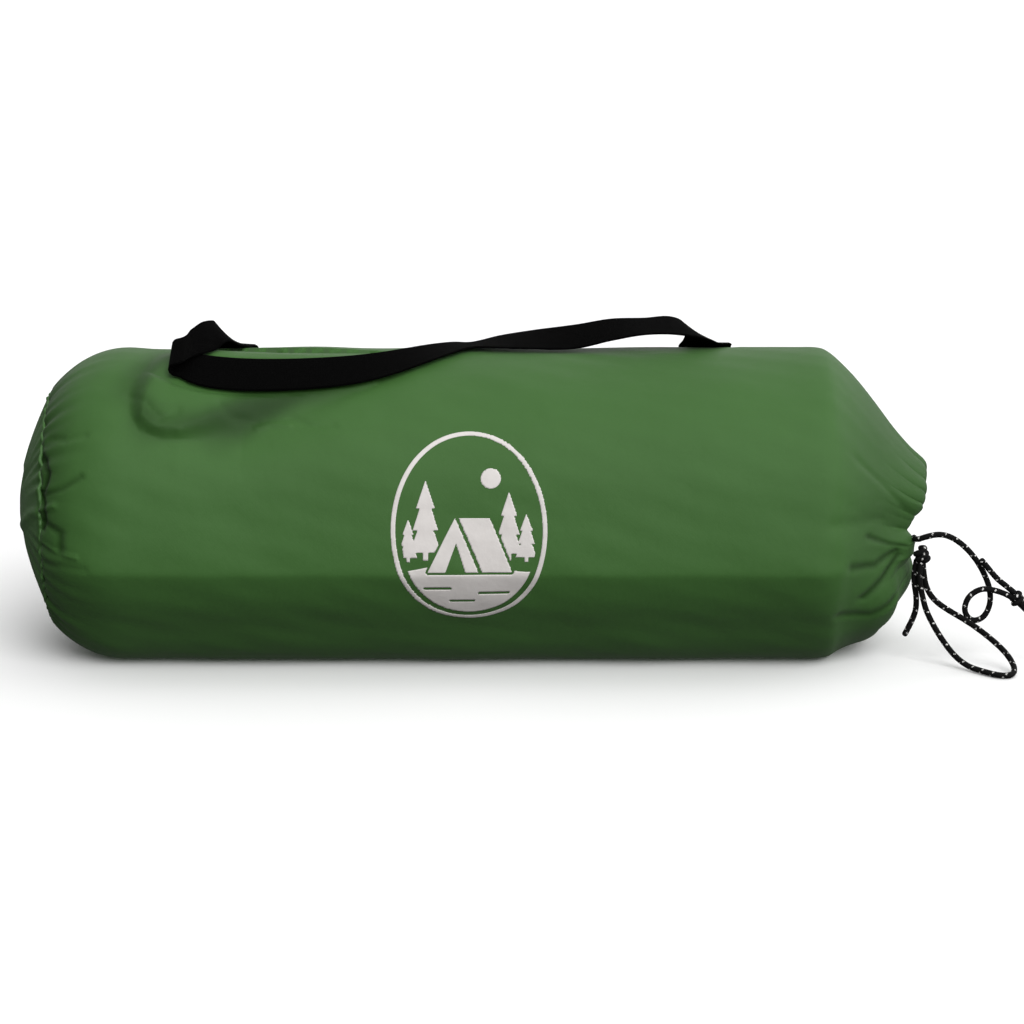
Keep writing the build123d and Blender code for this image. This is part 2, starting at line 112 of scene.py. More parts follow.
def grid_object(name, points, u, v, closed=False, flip=False):
    """An object from a grid of points (rows, columns, 3); u and v are the rows' and columns' metres.
    With closed, v has one more value than there are columns, for the seam of the map."""
    rows, columns = points.shape[:2]
    faces, i, j = grid_faces(rows, columns, closed)
    corner_rows = np.stack([i, i, i + 1, i + 1], -1)
    corner_columns = np.stack([j, j + 1, j + 1, j], -1)
    uv = np.stack([u[corner_rows], v[corner_columns]], -1)
    if flip:
        faces, uv = faces[:, ::-1], uv[:, ::-1]
    return add_mesh(name, points, faces, uv)


def smoothstep(edge0, edge1, value):
    """0 below edge0, 1 above edge1 and an S-shaped rise between them."""
    t = np.clip((value - edge0) / (edge1 - edge0), 0.0, 1.0)
    return t * t * (3.0 - 2.0 * t)


def arc_lengths(points):
    """Distance along a line of points, starting at 0."""
    steps = np.linalg.norm(np.diff(points, axis=0), axis=1)
    return np.concatenate([[0.0], np.cumsum(steps)])


# %% [markdown]
# ## The drawcord
# The cord is a 4.2 mm braid: a core in a woven sheath, black with a pale reflective tracer. Its ends
# leave the hem together, one springs out in an arch with a small loop, and the other is tied in a bow
# whose loop hangs down to the floor. Each stretch is one smooth NURBS line through listed points, and
# the braid is a tube along that line whose radius rises where two strands cross.

# %% Cord routes, in millimetres
CORD_D = 4.2
SPRUNG_END = [
    (311.5, -41.8, 90.0), (311.5, -52.5, 90.1), (318.5, -57.0, 94.0), (328.0, -56.0, 95.8),
    (337.0, -54.0, 93.0), (346.0, -53.5, 86.5), (354.5, -53.0, 77.0), (361.0, -52.5, 66.0),
    (365.5, -52.0, 54.5), (366.2, -52.0, 43.0), (361.5, -52.5, 33.0), (352.5, -54.5, 31.2),
    (346.5, -57.0, 39.5), (349.0, -59.0, 51.0), (358.5, -59.0, 57.0), (368.5, -57.5, 55.0),
    (377.0, -56.0, 51.5), (383.0, -55.0, 47.5), (389.5, -55.0, 41.5), (396.5, -56.5, 34.5),
    (403.0, -59.0, 26.0), (407.0, -62.0, 16.0), (409.0, -67.0, 7.0), (409.5, -75.5, 2.6),
    (407.0, -86.0, 2.4), (401.5, -95.0, 2.4),
]
BOW_LOOP = [
    (315.5, -55.0, 77.0), (314.6, -56.0, 70.0), (314.8, -56.5, 61.0), (317.0, -57.0, 51.0),
    (319.5, -58.0, 41.0), (325.0, -60.5, 30.0), (332.0, -63.0, 19.0), (340.0, -66.5, 9.0),
    (349.0, -73.0, 3.2), (358.5, -83.0, 2.6), (368.0, -92.0, 2.5), (376.0, -93.0, 2.6),
    (380.0, -86.5, 3.2), (380.5, -78.0, 6.0), (376.0, -71.0, 12.5), (368.0, -66.0, 19.5),
    (358.0, -62.0, 27.0), (347.0, -59.0, 34.0), (336.0, -57.0, 40.0), (326.0, -54.5, 46.5),
    (320.5, -52.0, 54.5), (318.5, -51.0, 64.0), (317.5, -52.5, 72.0), (317.0, -53.5, 77.5),
]
SHORT_TAIL = [
    (313.0, -53.5, 77.5), (311.5, -52.5, 69.0), (311.5, -52.0, 59.0), (313.5, -52.0, 48.5),
    (313.5, -51.5, 38.5), (310.0, -50.5, 28.5), (305.5, -49.5, 19.0),
]
TURNED_BACK_END = [
    (383.5, -55.0, 51.5), (377.0, -54.5, 57.0), (370.0, -56.0, 62.5), (363.5, -58.0, 70.5),
    (357.0, -59.0, 78.5),
]


# %% A smooth line and a braided tube
def smooth_line(points_mm):
    """The NURBS line of order 3 with these control points, read as points in metres."""
    data = bpy.data.curves.new("line", "CURVE")
    data.dimensions = "3D"
    data.resolution_u = 16
    spline = data.splines.new("NURBS")
    spline.points.add(len(points_mm) - 1)
    metres = np.array(points_mm) * MM
    spline.points.foreach_set("co", np.c_[metres, np.ones(len(metres))].ravel())
    spline.order_u = 3
    spline.use_endpoint_u = True
    curve = bpy.data.objects.new("line", data)
    bpy.context.scene.collection.objects.link(curve)
    depsgraph = bpy.context.evaluated_depsgraph_get()
    mesh = bpy.data.meshes.new_from_object(curve.evaluated_get(depsgraph))
    line = np.empty(len(mesh.vertices) * 3)
    mesh.vertices.foreach_get("co", line)
    bpy.data.objects.remove(curve)
    bpy.data.meshes.remove(mesh)
    return line.reshape(-1, 3)


def resampled(line, step):
    """The same line with points about `step` apart."""
    along = arc_lengths(line)
    count = max(4, int(round(along[-1] / step)) + 1)
    at = np.linspace(0.0, along[-1], count)
    return np.stack([np.interp(at, along, line[:, k]) for k in range(3)], -1)


def frames_along(line):
    """Unit tangents and two unit normals at each point, carried along without twist."""
    tangent = np.gradient(line, axis=0)
    tangent /= np.linalg.norm(tangent, axis=1)[:, None]
    normal = np.empty_like(line)
    start = np.cross(tangent[0], (0.0, 0.0, 1.0) if abs(tangent[0][2]) < 0.9 else (0.0, 1.0, 0.0))
    normal[0] = start / np.linalg.norm(start)
    for k in range(1, len(line)):
        carried = normal[k - 1] - tangent[k] * (normal[k - 1] @ tangent[k])
        normal[k] = carried / np.linalg.norm(carried)
    return tangent, normal, np.cross(tangent, normal)


STRANDS = 8                # strands each way round the sheath
BRAID_PITCH = 9.0 * MM     # length in which a strand goes once round
SHEATH_RELIEF = 0.07       # how far a strand stands up, as a share of the radius


def braided_tube(name, line, diameter, sides=32, taper=None):
    """A tube round the line. Its radius is the largest of two families of helical ridges, one turning
    each way, which is what a braided sheath looks like. The ends are rounded off."""
    line = resampled(line, diameter / 8)
    along = arc_lengths(line)
    _, normal, side = frames_along(line)
    turn = np.linspace(0.0, 2 * np.pi, sides, endpoint=False)
    s, v = np.meshgrid(along, turn, indexing="ij")
    wind = 2 * np.pi * s / BRAID_PITCH
    right = np.cos(STRANDS * (v + wind) / 2) ** 2
    left = np.cos(STRANDS * (v - wind) / 2) ** 2
    radius = diameter / 2 * (1.0 - SHEATH_RELIEF + SHEATH_RELIEF * np.maximum(right, left))
    if taper is not None:
        radius = radius * taper(s / along[-1])
    from_end = np.minimum(s, along[-1] - s) / (diameter / 2)
    radius = radius * np.sqrt(np.clip(1.0 - (1.0 - np.clip(from_end, 0, 1)) ** 2, 1e-4, 1.0))
    ring = normal[:, None] * np.cos(v)[..., None] + side[:, None] * np.sin(v)[..., None]
    points = line[:, None] + ring * radius[..., None]
    around = np.linspace(0.0, 1.0, sides + 1)
    made = grid_object(name, points, along, around, closed=True)
    print(name, "length", round(along[-1] * 1000, 1), "mm,", len(made.data.polygons), "faces")
    return made


# %% [markdown]
# ## Colours and shader nodes
# Colours are written as sRGB hex, which is how they are judged by eye, and turned to linear once. One
# helper adds a shader node with its settings and links.

# %% Colour and node helpers
def linear(hex_colour):
    """An sRGB hex colour as linear RGBA."""
    channels = [int(hex_colour[k:k + 2], 16) / 255 for k in (1, 3, 5)]
    return [c / 12.92 if c <= 0.04045 else ((c + 0.055) / 1.055) ** 2.4 for c in channels] + [1.0]


def new_material(name):
    """An empty Principled material; returns it, its node tree and its shader."""
    material = bpy.data.materials.new(name)
    material.use_nodes = True
    return material, material.node_tree, material.node_tree.nodes["Principled BSDF"]


def node(tree, kind, settings=None, inputs=None):
    """A node with its settings, and its inputs either set to a value or linked to a socket."""
    made = tree.nodes.new(kind)
    for key, value in (settings or {}).items():
        setattr(made, key, value)
    for key, value in (inputs or {}).items():
        if isinstance(value, bpy.types.NodeSocket):
            tree.links.new(value, made.inputs[key])
        else:
            made.inputs[key].default_value = value
    return made


def maths(tree, operation, a, b=0.0, c=0.0):
    """One Math node's output."""
    return node(tree, "ShaderNodeMath", {"operation": operation}, {0: a, 1: b, 2: c}).outputs[0]


def mixed(tree, share, a, b):
    """A colour mixed from a to b by share."""
    return node(
        tree, "ShaderNodeMix", {"data_type": "RGBA"}, {"Factor": share, "A": a, "B": b}
    ).outputs["Result"]


def uv_parts(tree):
    """The piece's own UV map, in metres, as two numbers and as a vector."""
    uv = node(tree, "ShaderNodeUVMap", {"uv_map": "UVMap"}).outputs[0]
    split = node(tree, "ShaderNodeSeparateXYZ", inputs={0: uv})
    return split.outputs[0], split.outputs[1], uv


def finish_surface(tree, shader, height, distance, strength=1.0):
    """A bump of that height in metres on the shader."""
    bump = node(
        tree, "ShaderNodeBump", inputs={"Height": height, "Distance": distance, "Strength": strength}
    )
    tree.links.new(bump.outputs[0], shader.inputs["Normal"])


# %% [markdown]
# ### Coated polyester
# The bag is woven polyester with a polyurethane coat. The eye sees a close plain weave, a soft sheen that
# is brighter on the slopes that face the light, and a slightly mottled green. The real threads are 0.2 mm
# apart, too fine to show, so the weave is drawn at 0.9 mm.

# %% Coated polyester
def woven_polyester(name, hex_colour, hex_dark, thread=0.9 * MM, roughness=0.52, sheen=0.04):
    """Plain weave: the height is the product of two sine waves, one along each thread direction."""
    material, tree, shader = new_material(name)
    u, v, _ = uv_parts(tree)
    warp = maths(tree, "SINE", maths(tree, "MULTIPLY", u, 2 * math.pi / thread))
    weft = maths(tree, "SINE", maths(tree, "MULTIPLY", v, 2 * math.pi / thread))
    weave = maths(tree, "MULTIPLY", warp, weft)
    place = node(tree, "ShaderNodeTexCoord").outputs["Object"]
    mottle = node(tree, "ShaderNodeTexNoise", inputs={"Vector": place, "Scale": 9.0, "Detail": 3.0})
    crinkle = node(tree, "ShaderNodeTexNoise", inputs={"Vector": place, "Scale": 55.0, "Detail": 4.0})
    tone = maths(tree, "MULTIPLY_ADD", mottle.outputs[0], 0.9, -0.2)
    # Painted shade in the weave: the low places between threads are a little darker than the crests.
    tone = maths(tree, "MULTIPLY_ADD", weave, 0.05, tone)
    colour = mixed(tree, tone, linear(hex_dark), linear(hex_colour))
    # Painted shade: where the mesh carries the 'fold' attribute, the colour is darkened towards a deeper,
    # more saturated green.
    fold = node(tree, "ShaderNodeAttribute", {"attribute_name": "fold"}).outputs["Fac"]
    in_painted_shade = node(
        tree, "ShaderNodeHueSaturation", inputs={"Color": colour, "Saturation": 1.32, "Value": 0.22}
    )
    colour = mixed(tree, fold, colour, in_painted_shade.outputs[0])
    tree.links.new(colour, shader.inputs["Base Color"])
    shader.inputs["Roughness"].default_value = roughness
    shader.inputs["Specular IOR Level"].default_value = 0.22
    shader.inputs["Sheen Weight"].default_value = sheen
    shader.inputs["Sheen Roughness"].default_value = 0.4
    shader.inputs["IOR"].default_value = 1.5
    height = maths(tree, "MULTIPLY_ADD", weave, 0.10, maths(tree, "MULTIPLY", crinkle.outputs[0], 1.0))
    finish_surface(tree, shader, height, 0.0006)
    return material


GREEN, GREEN_DARK = "#3F6831", "#395F2B"
bag_cloth = woven_polyester("coated polyester, green", GREEN, GREEN_DARK)


# %% [markdown]
# ### Braided cord, webbing and print
# The cord's sheath is matt black polyester with a silver tracer that shows as short pale dashes. The
# webbing is woven polypropylene: fine ribs across it, 1.1 mm apart. The badge is a matt pale ink.

# %% Cord, webbing and print
def braided_cord():
    """Black sheath; the tracer is the part of one helical strand that lies on top, twice round."""
    material, tree, shader = new_material("braided polyester cord")
    u, v, _ = uv_parts(tree)
    wind = maths(tree, "DIVIDE", u, BRAID_PITCH)
    strand = maths(tree, "FRACT", maths(tree, "ADD", v, wind))
    near = maths(tree, "LESS_THAN", maths(tree, "ABSOLUTE", maths(tree, "SUBTRACT", strand, 0.5)), 0.075)
    over = maths(tree, "FRACT", maths(tree, "MULTIPLY", maths(tree, "SUBTRACT", v, wind), 2.0))
    shown = maths(tree, "GREATER_THAN", over, 0.55)
    tracer = maths(tree, "MULTIPLY", near, shown)
    fleck = node(tree, "ShaderNodeTexNoise", inputs={"Scale": 900.0})
    tree.links.new(node(tree, "ShaderNodeTexCoord").outputs["Object"], fleck.inputs["Vector"])
    worn = maths(tree, "GREATER_THAN", fleck.outputs[0], 0.42)
    colour = mixed(tree, maths(tree, "MULTIPLY", tracer, worn), linear("#040404"), linear("#DCDBD8"))
    tree.links.new(colour, shader.inputs["Base Color"])
    shader.inputs["Roughness"].default_value = 0.75
    shader.inputs["Specular IOR Level"].default_value = 0.2
    fibre = maths(tree, "SINE", maths(tree, "MULTIPLY", u, 2 * math.pi / (0.5 * MM)))
    finish_surface(tree, shader, fibre, 0.0001)
    return material


def woven_webbing():
    """Ribs across the tape and a herringbone offset between its columns."""
    material, tree, shader = new_material("woven polypropylene webbing")
    u, v, _ = uv_parts(tree)
    column = maths(tree, "SINE", maths(tree, "MULTIPLY", v, 2 * math.pi / (2.4 * MM)))
    shifted = maths(tree, "MULTIPLY_ADD", column, 0.35 * MM, u)
    rib = maths(tree, "SINE", maths(tree, "MULTIPLY", shifted, 2 * math.pi / (1.1 * MM)))
    height = maths(tree, "MULTIPLY_ADD", rib, 0.6, maths(tree, "MULTIPLY", column, 0.4))
    # Painted shade: the colour follows the ribs, a touch darker in the valleys between them.
    colour = mixed(tree, maths(tree, "MULTIPLY_ADD", rib, 0.3, 0.4), linear("#000000"), linear("#030303"))
    tree.links.new(colour, shader.inputs["Base Color"])
    shader.inputs["Roughness"].default_value = 0.9
    shader.inputs["Specular IOR Level"].default_value = 0.03
    finish_surface(tree, shader, height, 0.00025)
    return material


def printed_ink():
    """Matt ink, mottled by a fine noise that also roughens its surface."""
    material, tree, shader = new_material("matt screen print ink")
    place = node(tree, "ShaderNodeTexCoord").outputs["Object"]
    wear = node(tree, "ShaderNodeTexNoise", inputs={"Vector": place, "Scale": 140.0, "Detail": 5.0})
    colour = mixed(tree, wear.outputs[0], linear("#C8C3C0"), linear("#D6D2CF"))
    tree.links.new(colour, shader.inputs["Base Color"])
    shader.inputs["Roughness"].default_value = 0.65
    finish_surface(tree, shader, wear.outputs[0], 0.0003)
    return material


cord_finish, webbing_finish, ink_finish = braided_cord(), woven_webbing(), printed_ink()

# %% Make the cords
CORDS = {
    # name: route, far end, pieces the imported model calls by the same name
    "sprung_end": (SPRUNG_END, "bare", "drawcord_sprung_end"),
    "bow_loop": (BOW_LOOP, "knot", "drawcord_bow_loop"),
    "short_tail": (SHORT_TAIL, "bare", "drawcord_short_tail"),
    "turned_back_end": (TURNED_BACK_END, "bare", "drawcord_turned_back_end"),
}
for name, (route, far_end, cad_name) in CORDS.items():
    line = smooth_line(route)
    made = braided_tube(f"cord_{name}", line, CORD_D * MM)
    made.data.materials.append(cord_finish)
    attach(made, "carry_bag")
    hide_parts(cad_name)

# %% Knots: a few wraps of the same cord
WRAP_AXIS = np.array([0.35, 0.0, -0.94])


def wrapped_knot(name, cad_name, wrap_r, turns):
    """A helix of cord round WRAP_AXIS, centred on the CAD knot; both ends tuck in towards the axis."""
    low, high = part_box(cad_name)
    centre = (np.array(low) + np.array(high)) / 2
    axis = WRAP_AXIS / np.linalg.norm(WRAP_AXIS)
    side = np.cross(axis, (0.0, 1.0, 0.0))
    side /= np.linalg.norm(side)
    front = np.cross(axis, side)
    t = np.linspace(-0.5, 0.5, 160)
    turn = 2 * np.pi * turns * t
    tuck = wrap_r * (1.0 - 0.75 * smoothstep(0.38, 0.5, np.abs(t)))
    line = centre + axis * (t * turns * CORD_D * MM * 0.92)[:, None]
    line = line + (side * np.cos(turn)[:, None] + front * np.sin(turn)[:, None]) * tuck[:, None]
    made = braided_tube(name, line, CORD_D * MM * 0.95)
    made.data.materials.append(cord_finish)
    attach(made, "carry_bag")
    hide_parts(cad_name)
    return made


wrapped_knot("knot_at_mouth", "exit_knot", 3.6 * MM, 2.6)
wrapped_knot("knot_at_end", "end_knot", 3.2 * MM, 2.4)

# %% [markdown]
# ## The bag
# The cloth is one surface: a profile is carried round the bag's axis, then moved along its own normal by
# the folds. The profile is the rounded left corner, the straight tube, the cone to the mouth, the bunched
# lip, and the throat where the cloth turns in. The axis sags and tilts towards the mouth, and the belly
# is pressed flat on the floor.

# %% Profile of the cloth
BAG_R, AXIS_Z = 113.0, 103.5
CORNER_X, CORNER_R, SEAM_R = -244.0, 72.0, 80.0
SHOULDER_X, HEM_X, HEM_Z = 258.0, 308.0, 90.0
HEM_TILT = math.radians(12.0)


def cloth_profile(step):
    """Distance along the profile, x and radius of the cloth from the end seam to the throat, in mm."""
    start = math.asin((SEAM_R - (BAG_R - CORNER_R)) / CORNER_R)
    corner = np.linspace(start, math.pi / 2, 60)
    left = np.stack([CORNER_X - CORNER_R * np.cos(corner), BAG_R - CORNER_R + CORNER_R * np.sin(corner)], -1)
    mouth = np.array([
        (SHOULDER_X - 16, BAG_R), (SHOULDER_X - 7, 111.8), (255, 108.0), (265, 97),
        (276, 83), (288, 68), (300, 55.5), (308, 50.5),
        (312, 46), (311.5, 37), (307, 27), (300, 18), (293, 12), (283, 9.5),
    ])
    outline = np.concatenate([left, mouth])
    along = arc_lengths(outline)
    at = np.linspace(0.0, along[-1], int(along[-1] / step) + 1)
    x = np.interp(at, along, outline[:, 0])
    radius = np.interp(at, along, outline[:, 1])
    kernel = np.exp(-np.linspace(-2, 2, int(22 / step) | 1) ** 2)
    kernel /= kernel.sum()
    pad = len(kernel) // 2
    smooth = [
        np.convolve(np.pad(line, pad, mode="reflect", reflect_type="odd"), kernel, "valid")
        for line in (x, radius)
    ]
    return at, smooth[0], smooth[1]


profile_s, profile_x, profile_r = cloth_profile(0.5)
outer_part = slice(0, int(np.argmax(profile_x)) + 1)
LIP_S = profile_s[outer_part][-1]
print("cloth from end seam to lip:", round(LIP_S), "mm, to the throat:", round(profile_s[-1]), "mm")


def s_at(x):
    """Distance along the profile where the tube or cone reaches x."""
    return np.interp(x, profile_x[outer_part], profile_s[outer_part])


# %% [markdown]
# ### Folds
# Real cloth wrinkles in families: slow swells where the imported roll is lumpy, puckers that fan out of a
# sewn seam and die away, deep pleats where the cord gathers the mouth, and a few single creases. Each
# family is a sum of waves round the bag whose phase drifts along it.

# %% Wave families
def waves(angle, x, counts, drift, seed):
    """Sum of cosines round the bag. Each has a whole count, so it closes, and its phase drifts with x."""
    random = np.random.default_rng(seed)
    total = np.zeros_like(angle)
    for count in counts:
        phase, slope, size = random.uniform(0, 2 * np.pi), random.normal() * drift, random.uniform(0.5, 1)
        total += size * np.cos(count * angle + phase + slope * x)
    return total / math.sqrt(len(counts))


def pleats(angle, count, seed):
    """Rounded ridges with sharp valleys, unevenly spaced, from -1 in the valleys to 1 on the ridges."""
    random = np.random.default_rng(seed)
    warped = angle + 0.0
    for k in (2, 3, 5):
        warped = warped + 0.35 / k * np.sin(k * angle + random.uniform(0, 2 * np.pi))
    return 2.0 * np.sqrt(np.abs(np.sin(count * warped / 2))) - 1.0


# %% Distances on the unrolled cloth
ARC = math.radians(1.0) * BAG_R        # mm round the bag for each degree


def stroke_distance(x, h, stroke):
    """Distance in mm from (x, h) to a line of (x, degrees) points, h being mm round the bag."""
    nearest = np.full(x.shape, 1e9)
    stroke = np.array(stroke, float) * (1.0, ARC)
    for a, b in zip(stroke, stroke[1:]):
        d = b - a
        t = np.clip(((x - a[0]) * d[0] + (h - a[1]) * d[1]) / (d @ d), 0.0, 1.0)
        nearest = np.minimum(nearest, (x - a[0] - t * d[0]) ** 2 + (h - a[1] - t * d[1]) ** 2)
    return np.sqrt(nearest)


def inside(x, h, corners):
    """True where (x, h) is inside the polygon: a ray from it crosses an odd number of edges."""
    found = np.zeros(x.shape, bool)
    corners = np.array(corners, float) * (1.0, ARC)
    for (x0, h0), (x1, h1) in zip(corners, np.roll(corners, -1, axis=0)):
        crossing = x0 + (h - h0) * (x1 - x0) / (h1 - h0 + 1e-9)
        found ^= ((h0 > h) != (h1 > h)) & (x < crossing)
    return found


# %% The swell that the strap pulls up: x and degrees from the top
SWELL_FOOT = [
    (-218, -4), (-232, 16), (-241, 29), (-240, 42), (-232, 50), (-214, 53.5), (-188, 53), (-163, 50.5),
    (-145, 45), (-119, 42), (-102, 37.5), (-75, 30.5), (-59, 24),
]
SWELL_TOP = [
    (-212, 14), (-223, 30), (-228, 37), (-229, 44), (-221, 48), (-204, 49), (-190, 45.5), (-179, 42),
    (-171, 39), (-156, 35), (-136, 32), (-102, 29), (-71, 26),
]
SWELL_X = (-245.0, -205.0, -180.0, -160.0, -140.0, -100.0, -60.0, -40.0)
SWELL_RISE = (4.6, 5.0, 5.0, 3.0, 1.8, 1.0, 0.4, 0.0)     # mm above the plain cloth, inside
SWELL_DIP = (0.8, 1.4, 4.2, 6.0, 5.6, 3.4, 1.6, 0.0)      # mm below it, just outside
# Painted shade: a dark band painted into the cloth's colour along the outside of the swell, where its dip and
# the strap's shadow make shade; its middle line, and along x its depth and half-width in mm.
PAINTED_SHADE_LINE = [                 # middle of the fold's shade
    (-216, 9), (-230, 22), (-235, 33), (-230, 43), (-212, 48.5), (-187, 46.5), (-161, 42),
    (-137, 37), (-102, 30.5), (-66, 24.5),
]
PAINTED_SHADE_X = (-245.0, -228.0, -210.0, -187.0, -161.0, -137.0, -102.0, -70.0, -52.0)
PAINTED_SHADE_DEPTH = (0.56, 0.56, 0.42, 0.62, 0.84, 0.80, 0.70, 0.50, 0.0)
PAINTED_SHADE_REACH = (12.0, 11.5, 8.5, 12.0, 16.5, 14.0, 10.0, 7.0, 5.0)   # mm


def swell_share(x, h):
    """0 outside SWELL_FOOT, 1 inside SWELL_TOP, between them by distance; also where the foot encloses."""
    in_foot = inside(x, h, SWELL_FOOT + [(-59, 0), (-200, -10)])
    in_top = inside(x, h, SWELL_TOP + [(-71, 5), (-200, 5)])
    to_foot, to_top = stroke_distance(x, h, SWELL_FOOT), stroke_distance(x, h, SWELL_TOP)
    share = np.where(in_top, 1.0, np.where(in_foot, to_foot / (to_foot + to_top + 1e-6), 0.0))
    return share, np.where(in_foot, 1.0, np.exp(-((to_foot / 26.0) ** 2)))


def strap_swell(x, h):
    """A low plateau inside SWELL_TOP that falls to SWELL_FOOT, with a dip that dies away outside."""
    share, outside = swell_share(x, h)
    share = smoothstep(0.0, 1.0, share) * smoothstep(-6 * ARC, 10 * ARC, h)
    rise, dip = np.interp(x, SWELL_X, SWELL_RISE), np.interp(x, SWELL_X, SWELL_DIP)
    return share * rise - (1.0 - share) * dip * outside


# %% Where webbing lies on the cloth
WEB_W, WEB_T = 38.0, 1.6
SEW_LEFT_X, SEW_RIGHT_X = -176.0, 166.0
LYING = [                  # x and degrees of the webbing's middle along the front
    (-197.0, 22.0), (-186.0, 24.0), (-173.0, 24.9), (-134.0, 24.3), (-108.0, 23.0),
    (-83.0, 20.8), (-66.0, 18.0), (-49.0, 13.6), (-32.0, 7.6), (-16.0, 0.8), (-2.0, -5.6),
]
FRONT_RUN = [(-218.0, 13.5)] + LYING + [(20.0, -6.0), (160.0, -8.0)]
SEWN_ENDS = [[(SEW_LEFT_X, -40.0), (SEW_LEFT_X, -8.0)], [(SEW_RIGHT_X, -40.0), (SEW_RIGHT_X, -8.0)]]


def web_lift(x):
    """How far the lying webbing's middle stands off the plain cloth, in mm."""
    return 2.0 + 3.0 * np.exp(-(((np.asarray(x) + 195.0) / 42.0) ** 2))


def under_webbing(x, h):
    """The most that the cloth may stand up, in mm: little under webbing, more away from it."""
    half = WEB_W / 2 + 1.0
    run = np.clip(stroke_distance(x, h, FRONT_RUN) - half, 0.0, None)
    ends = np.clip(np.min([stroke_distance(x, h, end) for end in SEWN_ENDS], axis=0) - half, 0.0, None)
    return np.minimum(web_lift(x) - 1.7 + 0.75 * run, 0.3 + 0.42 * ends)


# %% Displacement of the cloth
PUCKERS = 46
PUCKER_REACH = 24.0        # mm over which the end seam's puckers die away
TURN_UNDER = 101.0         # degrees, where the side turns under towards the floor
CREASES = [                # x and angle points, width mm, depth mm
    ([(-302, 52), (-297, 62), (-300, 70)], 1.6, -2.4),
    ([(-303, 70), (-299, 78), (-301, 88)], 1.5, -2.2),
    ([(-300, 72), (-286, 70), (-272, 66)], 2.2, -1.2),
    ([(-322, 92), (-306, 80), (-292, 77)], 2.0, 1.6),
    ([(-303, 94), (-288, 96), (-274, 96)], 1.6, 1.0),
    ([(-301, 84), (-287, 88), (-286, 95)], 2.6, -1.6),
    ([(-298, 104), (-286, 101), (-268, 100)], 2.4, -1.0),
    ([(-296, 46), (-284, 50), (-270, 50)], 2.2, -1.0),
    ([(-240, 34), (-222, 41), (-205, 42)], 2.2, -0.7),
    ([(-226, 40), (-216, 46), (-206, 44)], 1.6, -0.8),
    ([(-176, 40), (-168, 44), (-152, 44)], 2.4, -1.0),
    ([(-150, 47), (-140, 45), (-128, 46)], 1.6, 0.8),
    ([(-126, 43), (-112, 47), (-98, 47)], 2.2, -0.7),
    ([(-60, 44), (-20, 41), (40, 42)], 7.0, -0.5),
    ([(60, 60), (120, 58), (190, 62)], 9.0, -0.6),
    ([(266, 56), (284, 60), (300, 66)], 3.0, -0.9),
    ([(262, 100), (280, 102), (298, 97)], 3.0, -1.6),
    ([(272, 116), (288, 108), (300, 100)], 2.6, -1.8),
    ([(276, 88), (292, 92), (304, 93)], 2.4, -1.2),
    ([(256, 122), (276, 126), (292, 122)], 3.2, -1.4),
    ([(250, 84), (268, 82), (284, 78)], 4.0, -0.8),
]
LIP_LOBES = [              # degrees from the top to the front, mm that the lip stands out
    (-180, -3), (-160, 1), (-146, -5), (-125, 2), (-108, -3), (-92, 2), (-74, -4), (-55, 2),
    (-36, -2), (-20, 1), (-6, -1), (8, 2), (26, 1), (44, 2), (60, 1), (73, -5), (81, -6), (92, 1),
    (103, 1), (112, -5), (126, 0), (140, 2), (152, -4), (166, 2), (180, -3),
]
NO_CAP = 200.0             # mm, where no webbing lies
HELD_DOWN = 0.85           # share of what rises past the webbing that the webbing presses back


def cloth_lift(s, x, angle):
    """How far the cloth stands out along its normal, in mm, from its place on the plain profile. Under
    the webbing it is held down, with a change rounded over about a millimetre."""
    degrees, h = np.degrees(angle), angle * BAG_R
    swell = 0.9 * waves(angle, x, (2, 3, 4, 5), 0.018, 3) + 0.30 * waves(angle, x, (7, 9, 12), 0.06, 5)
    ripple = 0.16 * waves(angle, x, (15, 21, 26, 34), 0.11, 41)
    pucker = waves(angle, x, (PUCKERS, PUCKERS + 7, PUCKERS - 11, 23, 17), 0.03, 11)
    uneven = 0.8 + 0.4 * waves(angle, x * 0, (3, 5, 8), 0.0, 13)
    pucker = 1.35 * pucker * np.clip(uneven, 0.1, 2.0) * np.exp(-((np.maximum(s, 0.0) / PUCKER_REACH) ** 1.3))
    seam_dip = -2.0 * np.exp(-((s / 4.0) ** 2))
    to_lip = smoothstep(SHOULDER_X - 14, HEM_X, x) * (s > 300)
    turned_in = smoothstep(0.0, 36.0, s - LIP_S)
    big = waves(angle, x, (3, 5, 8, 11), 0.02, 17)
    lobes = np.array(LIP_LOBES, float)
    lobe = np.interp(degrees, lobes[:, 0], lobes[:, 1])
    mouth = 1.6 * big * to_lip * (1 - to_lip) * 3 + 1.0 * lobe * to_lip**4 * (1 - turned_in)
    gather = pleats(angle, 18, 23)
    mouth += 0.8 * gather * to_lip**6 * (1 - turned_in) + 1.6 * gather * turned_in
    sag = 21.0 * smoothstep(94, 128, np.abs(degrees)) * np.exp(-(((x - 289) / 20) ** 2)) * (1 - turned_in)
    ridge = np.sqrt((np.abs(degrees) - TURN_UNDER) ** 2 + 1.6)
    under = 6.4 * np.exp(-ridge / 13.0) - 1.6 * np.exp(-(((np.abs(degrees) - 80) / 12) ** 2))
    under -= 3.0 * np.exp(-(((np.abs(degrees) - 127) / 11) ** 2))
    under *= smoothstep(-312, -262, x) * (1 - smoothstep(236, 284, x))
    lift = (swell + ripple) * smoothstep(0, 30, s) * (1 - to_lip) + pucker + seam_dip + mouth + under
    lift += strap_swell(x, h) + sag * (s > 300)
    for stroke, width, depth in CREASES:
        lift += depth * np.exp(-((stroke_distance(x, h, stroke) / width) ** 2) / 2)
    over = lift - np.minimum(under_webbing(x, h), NO_CAP)
    return lift - HELD_DOWN / 2 * (over + np.sqrt(over**2 + 1.5))


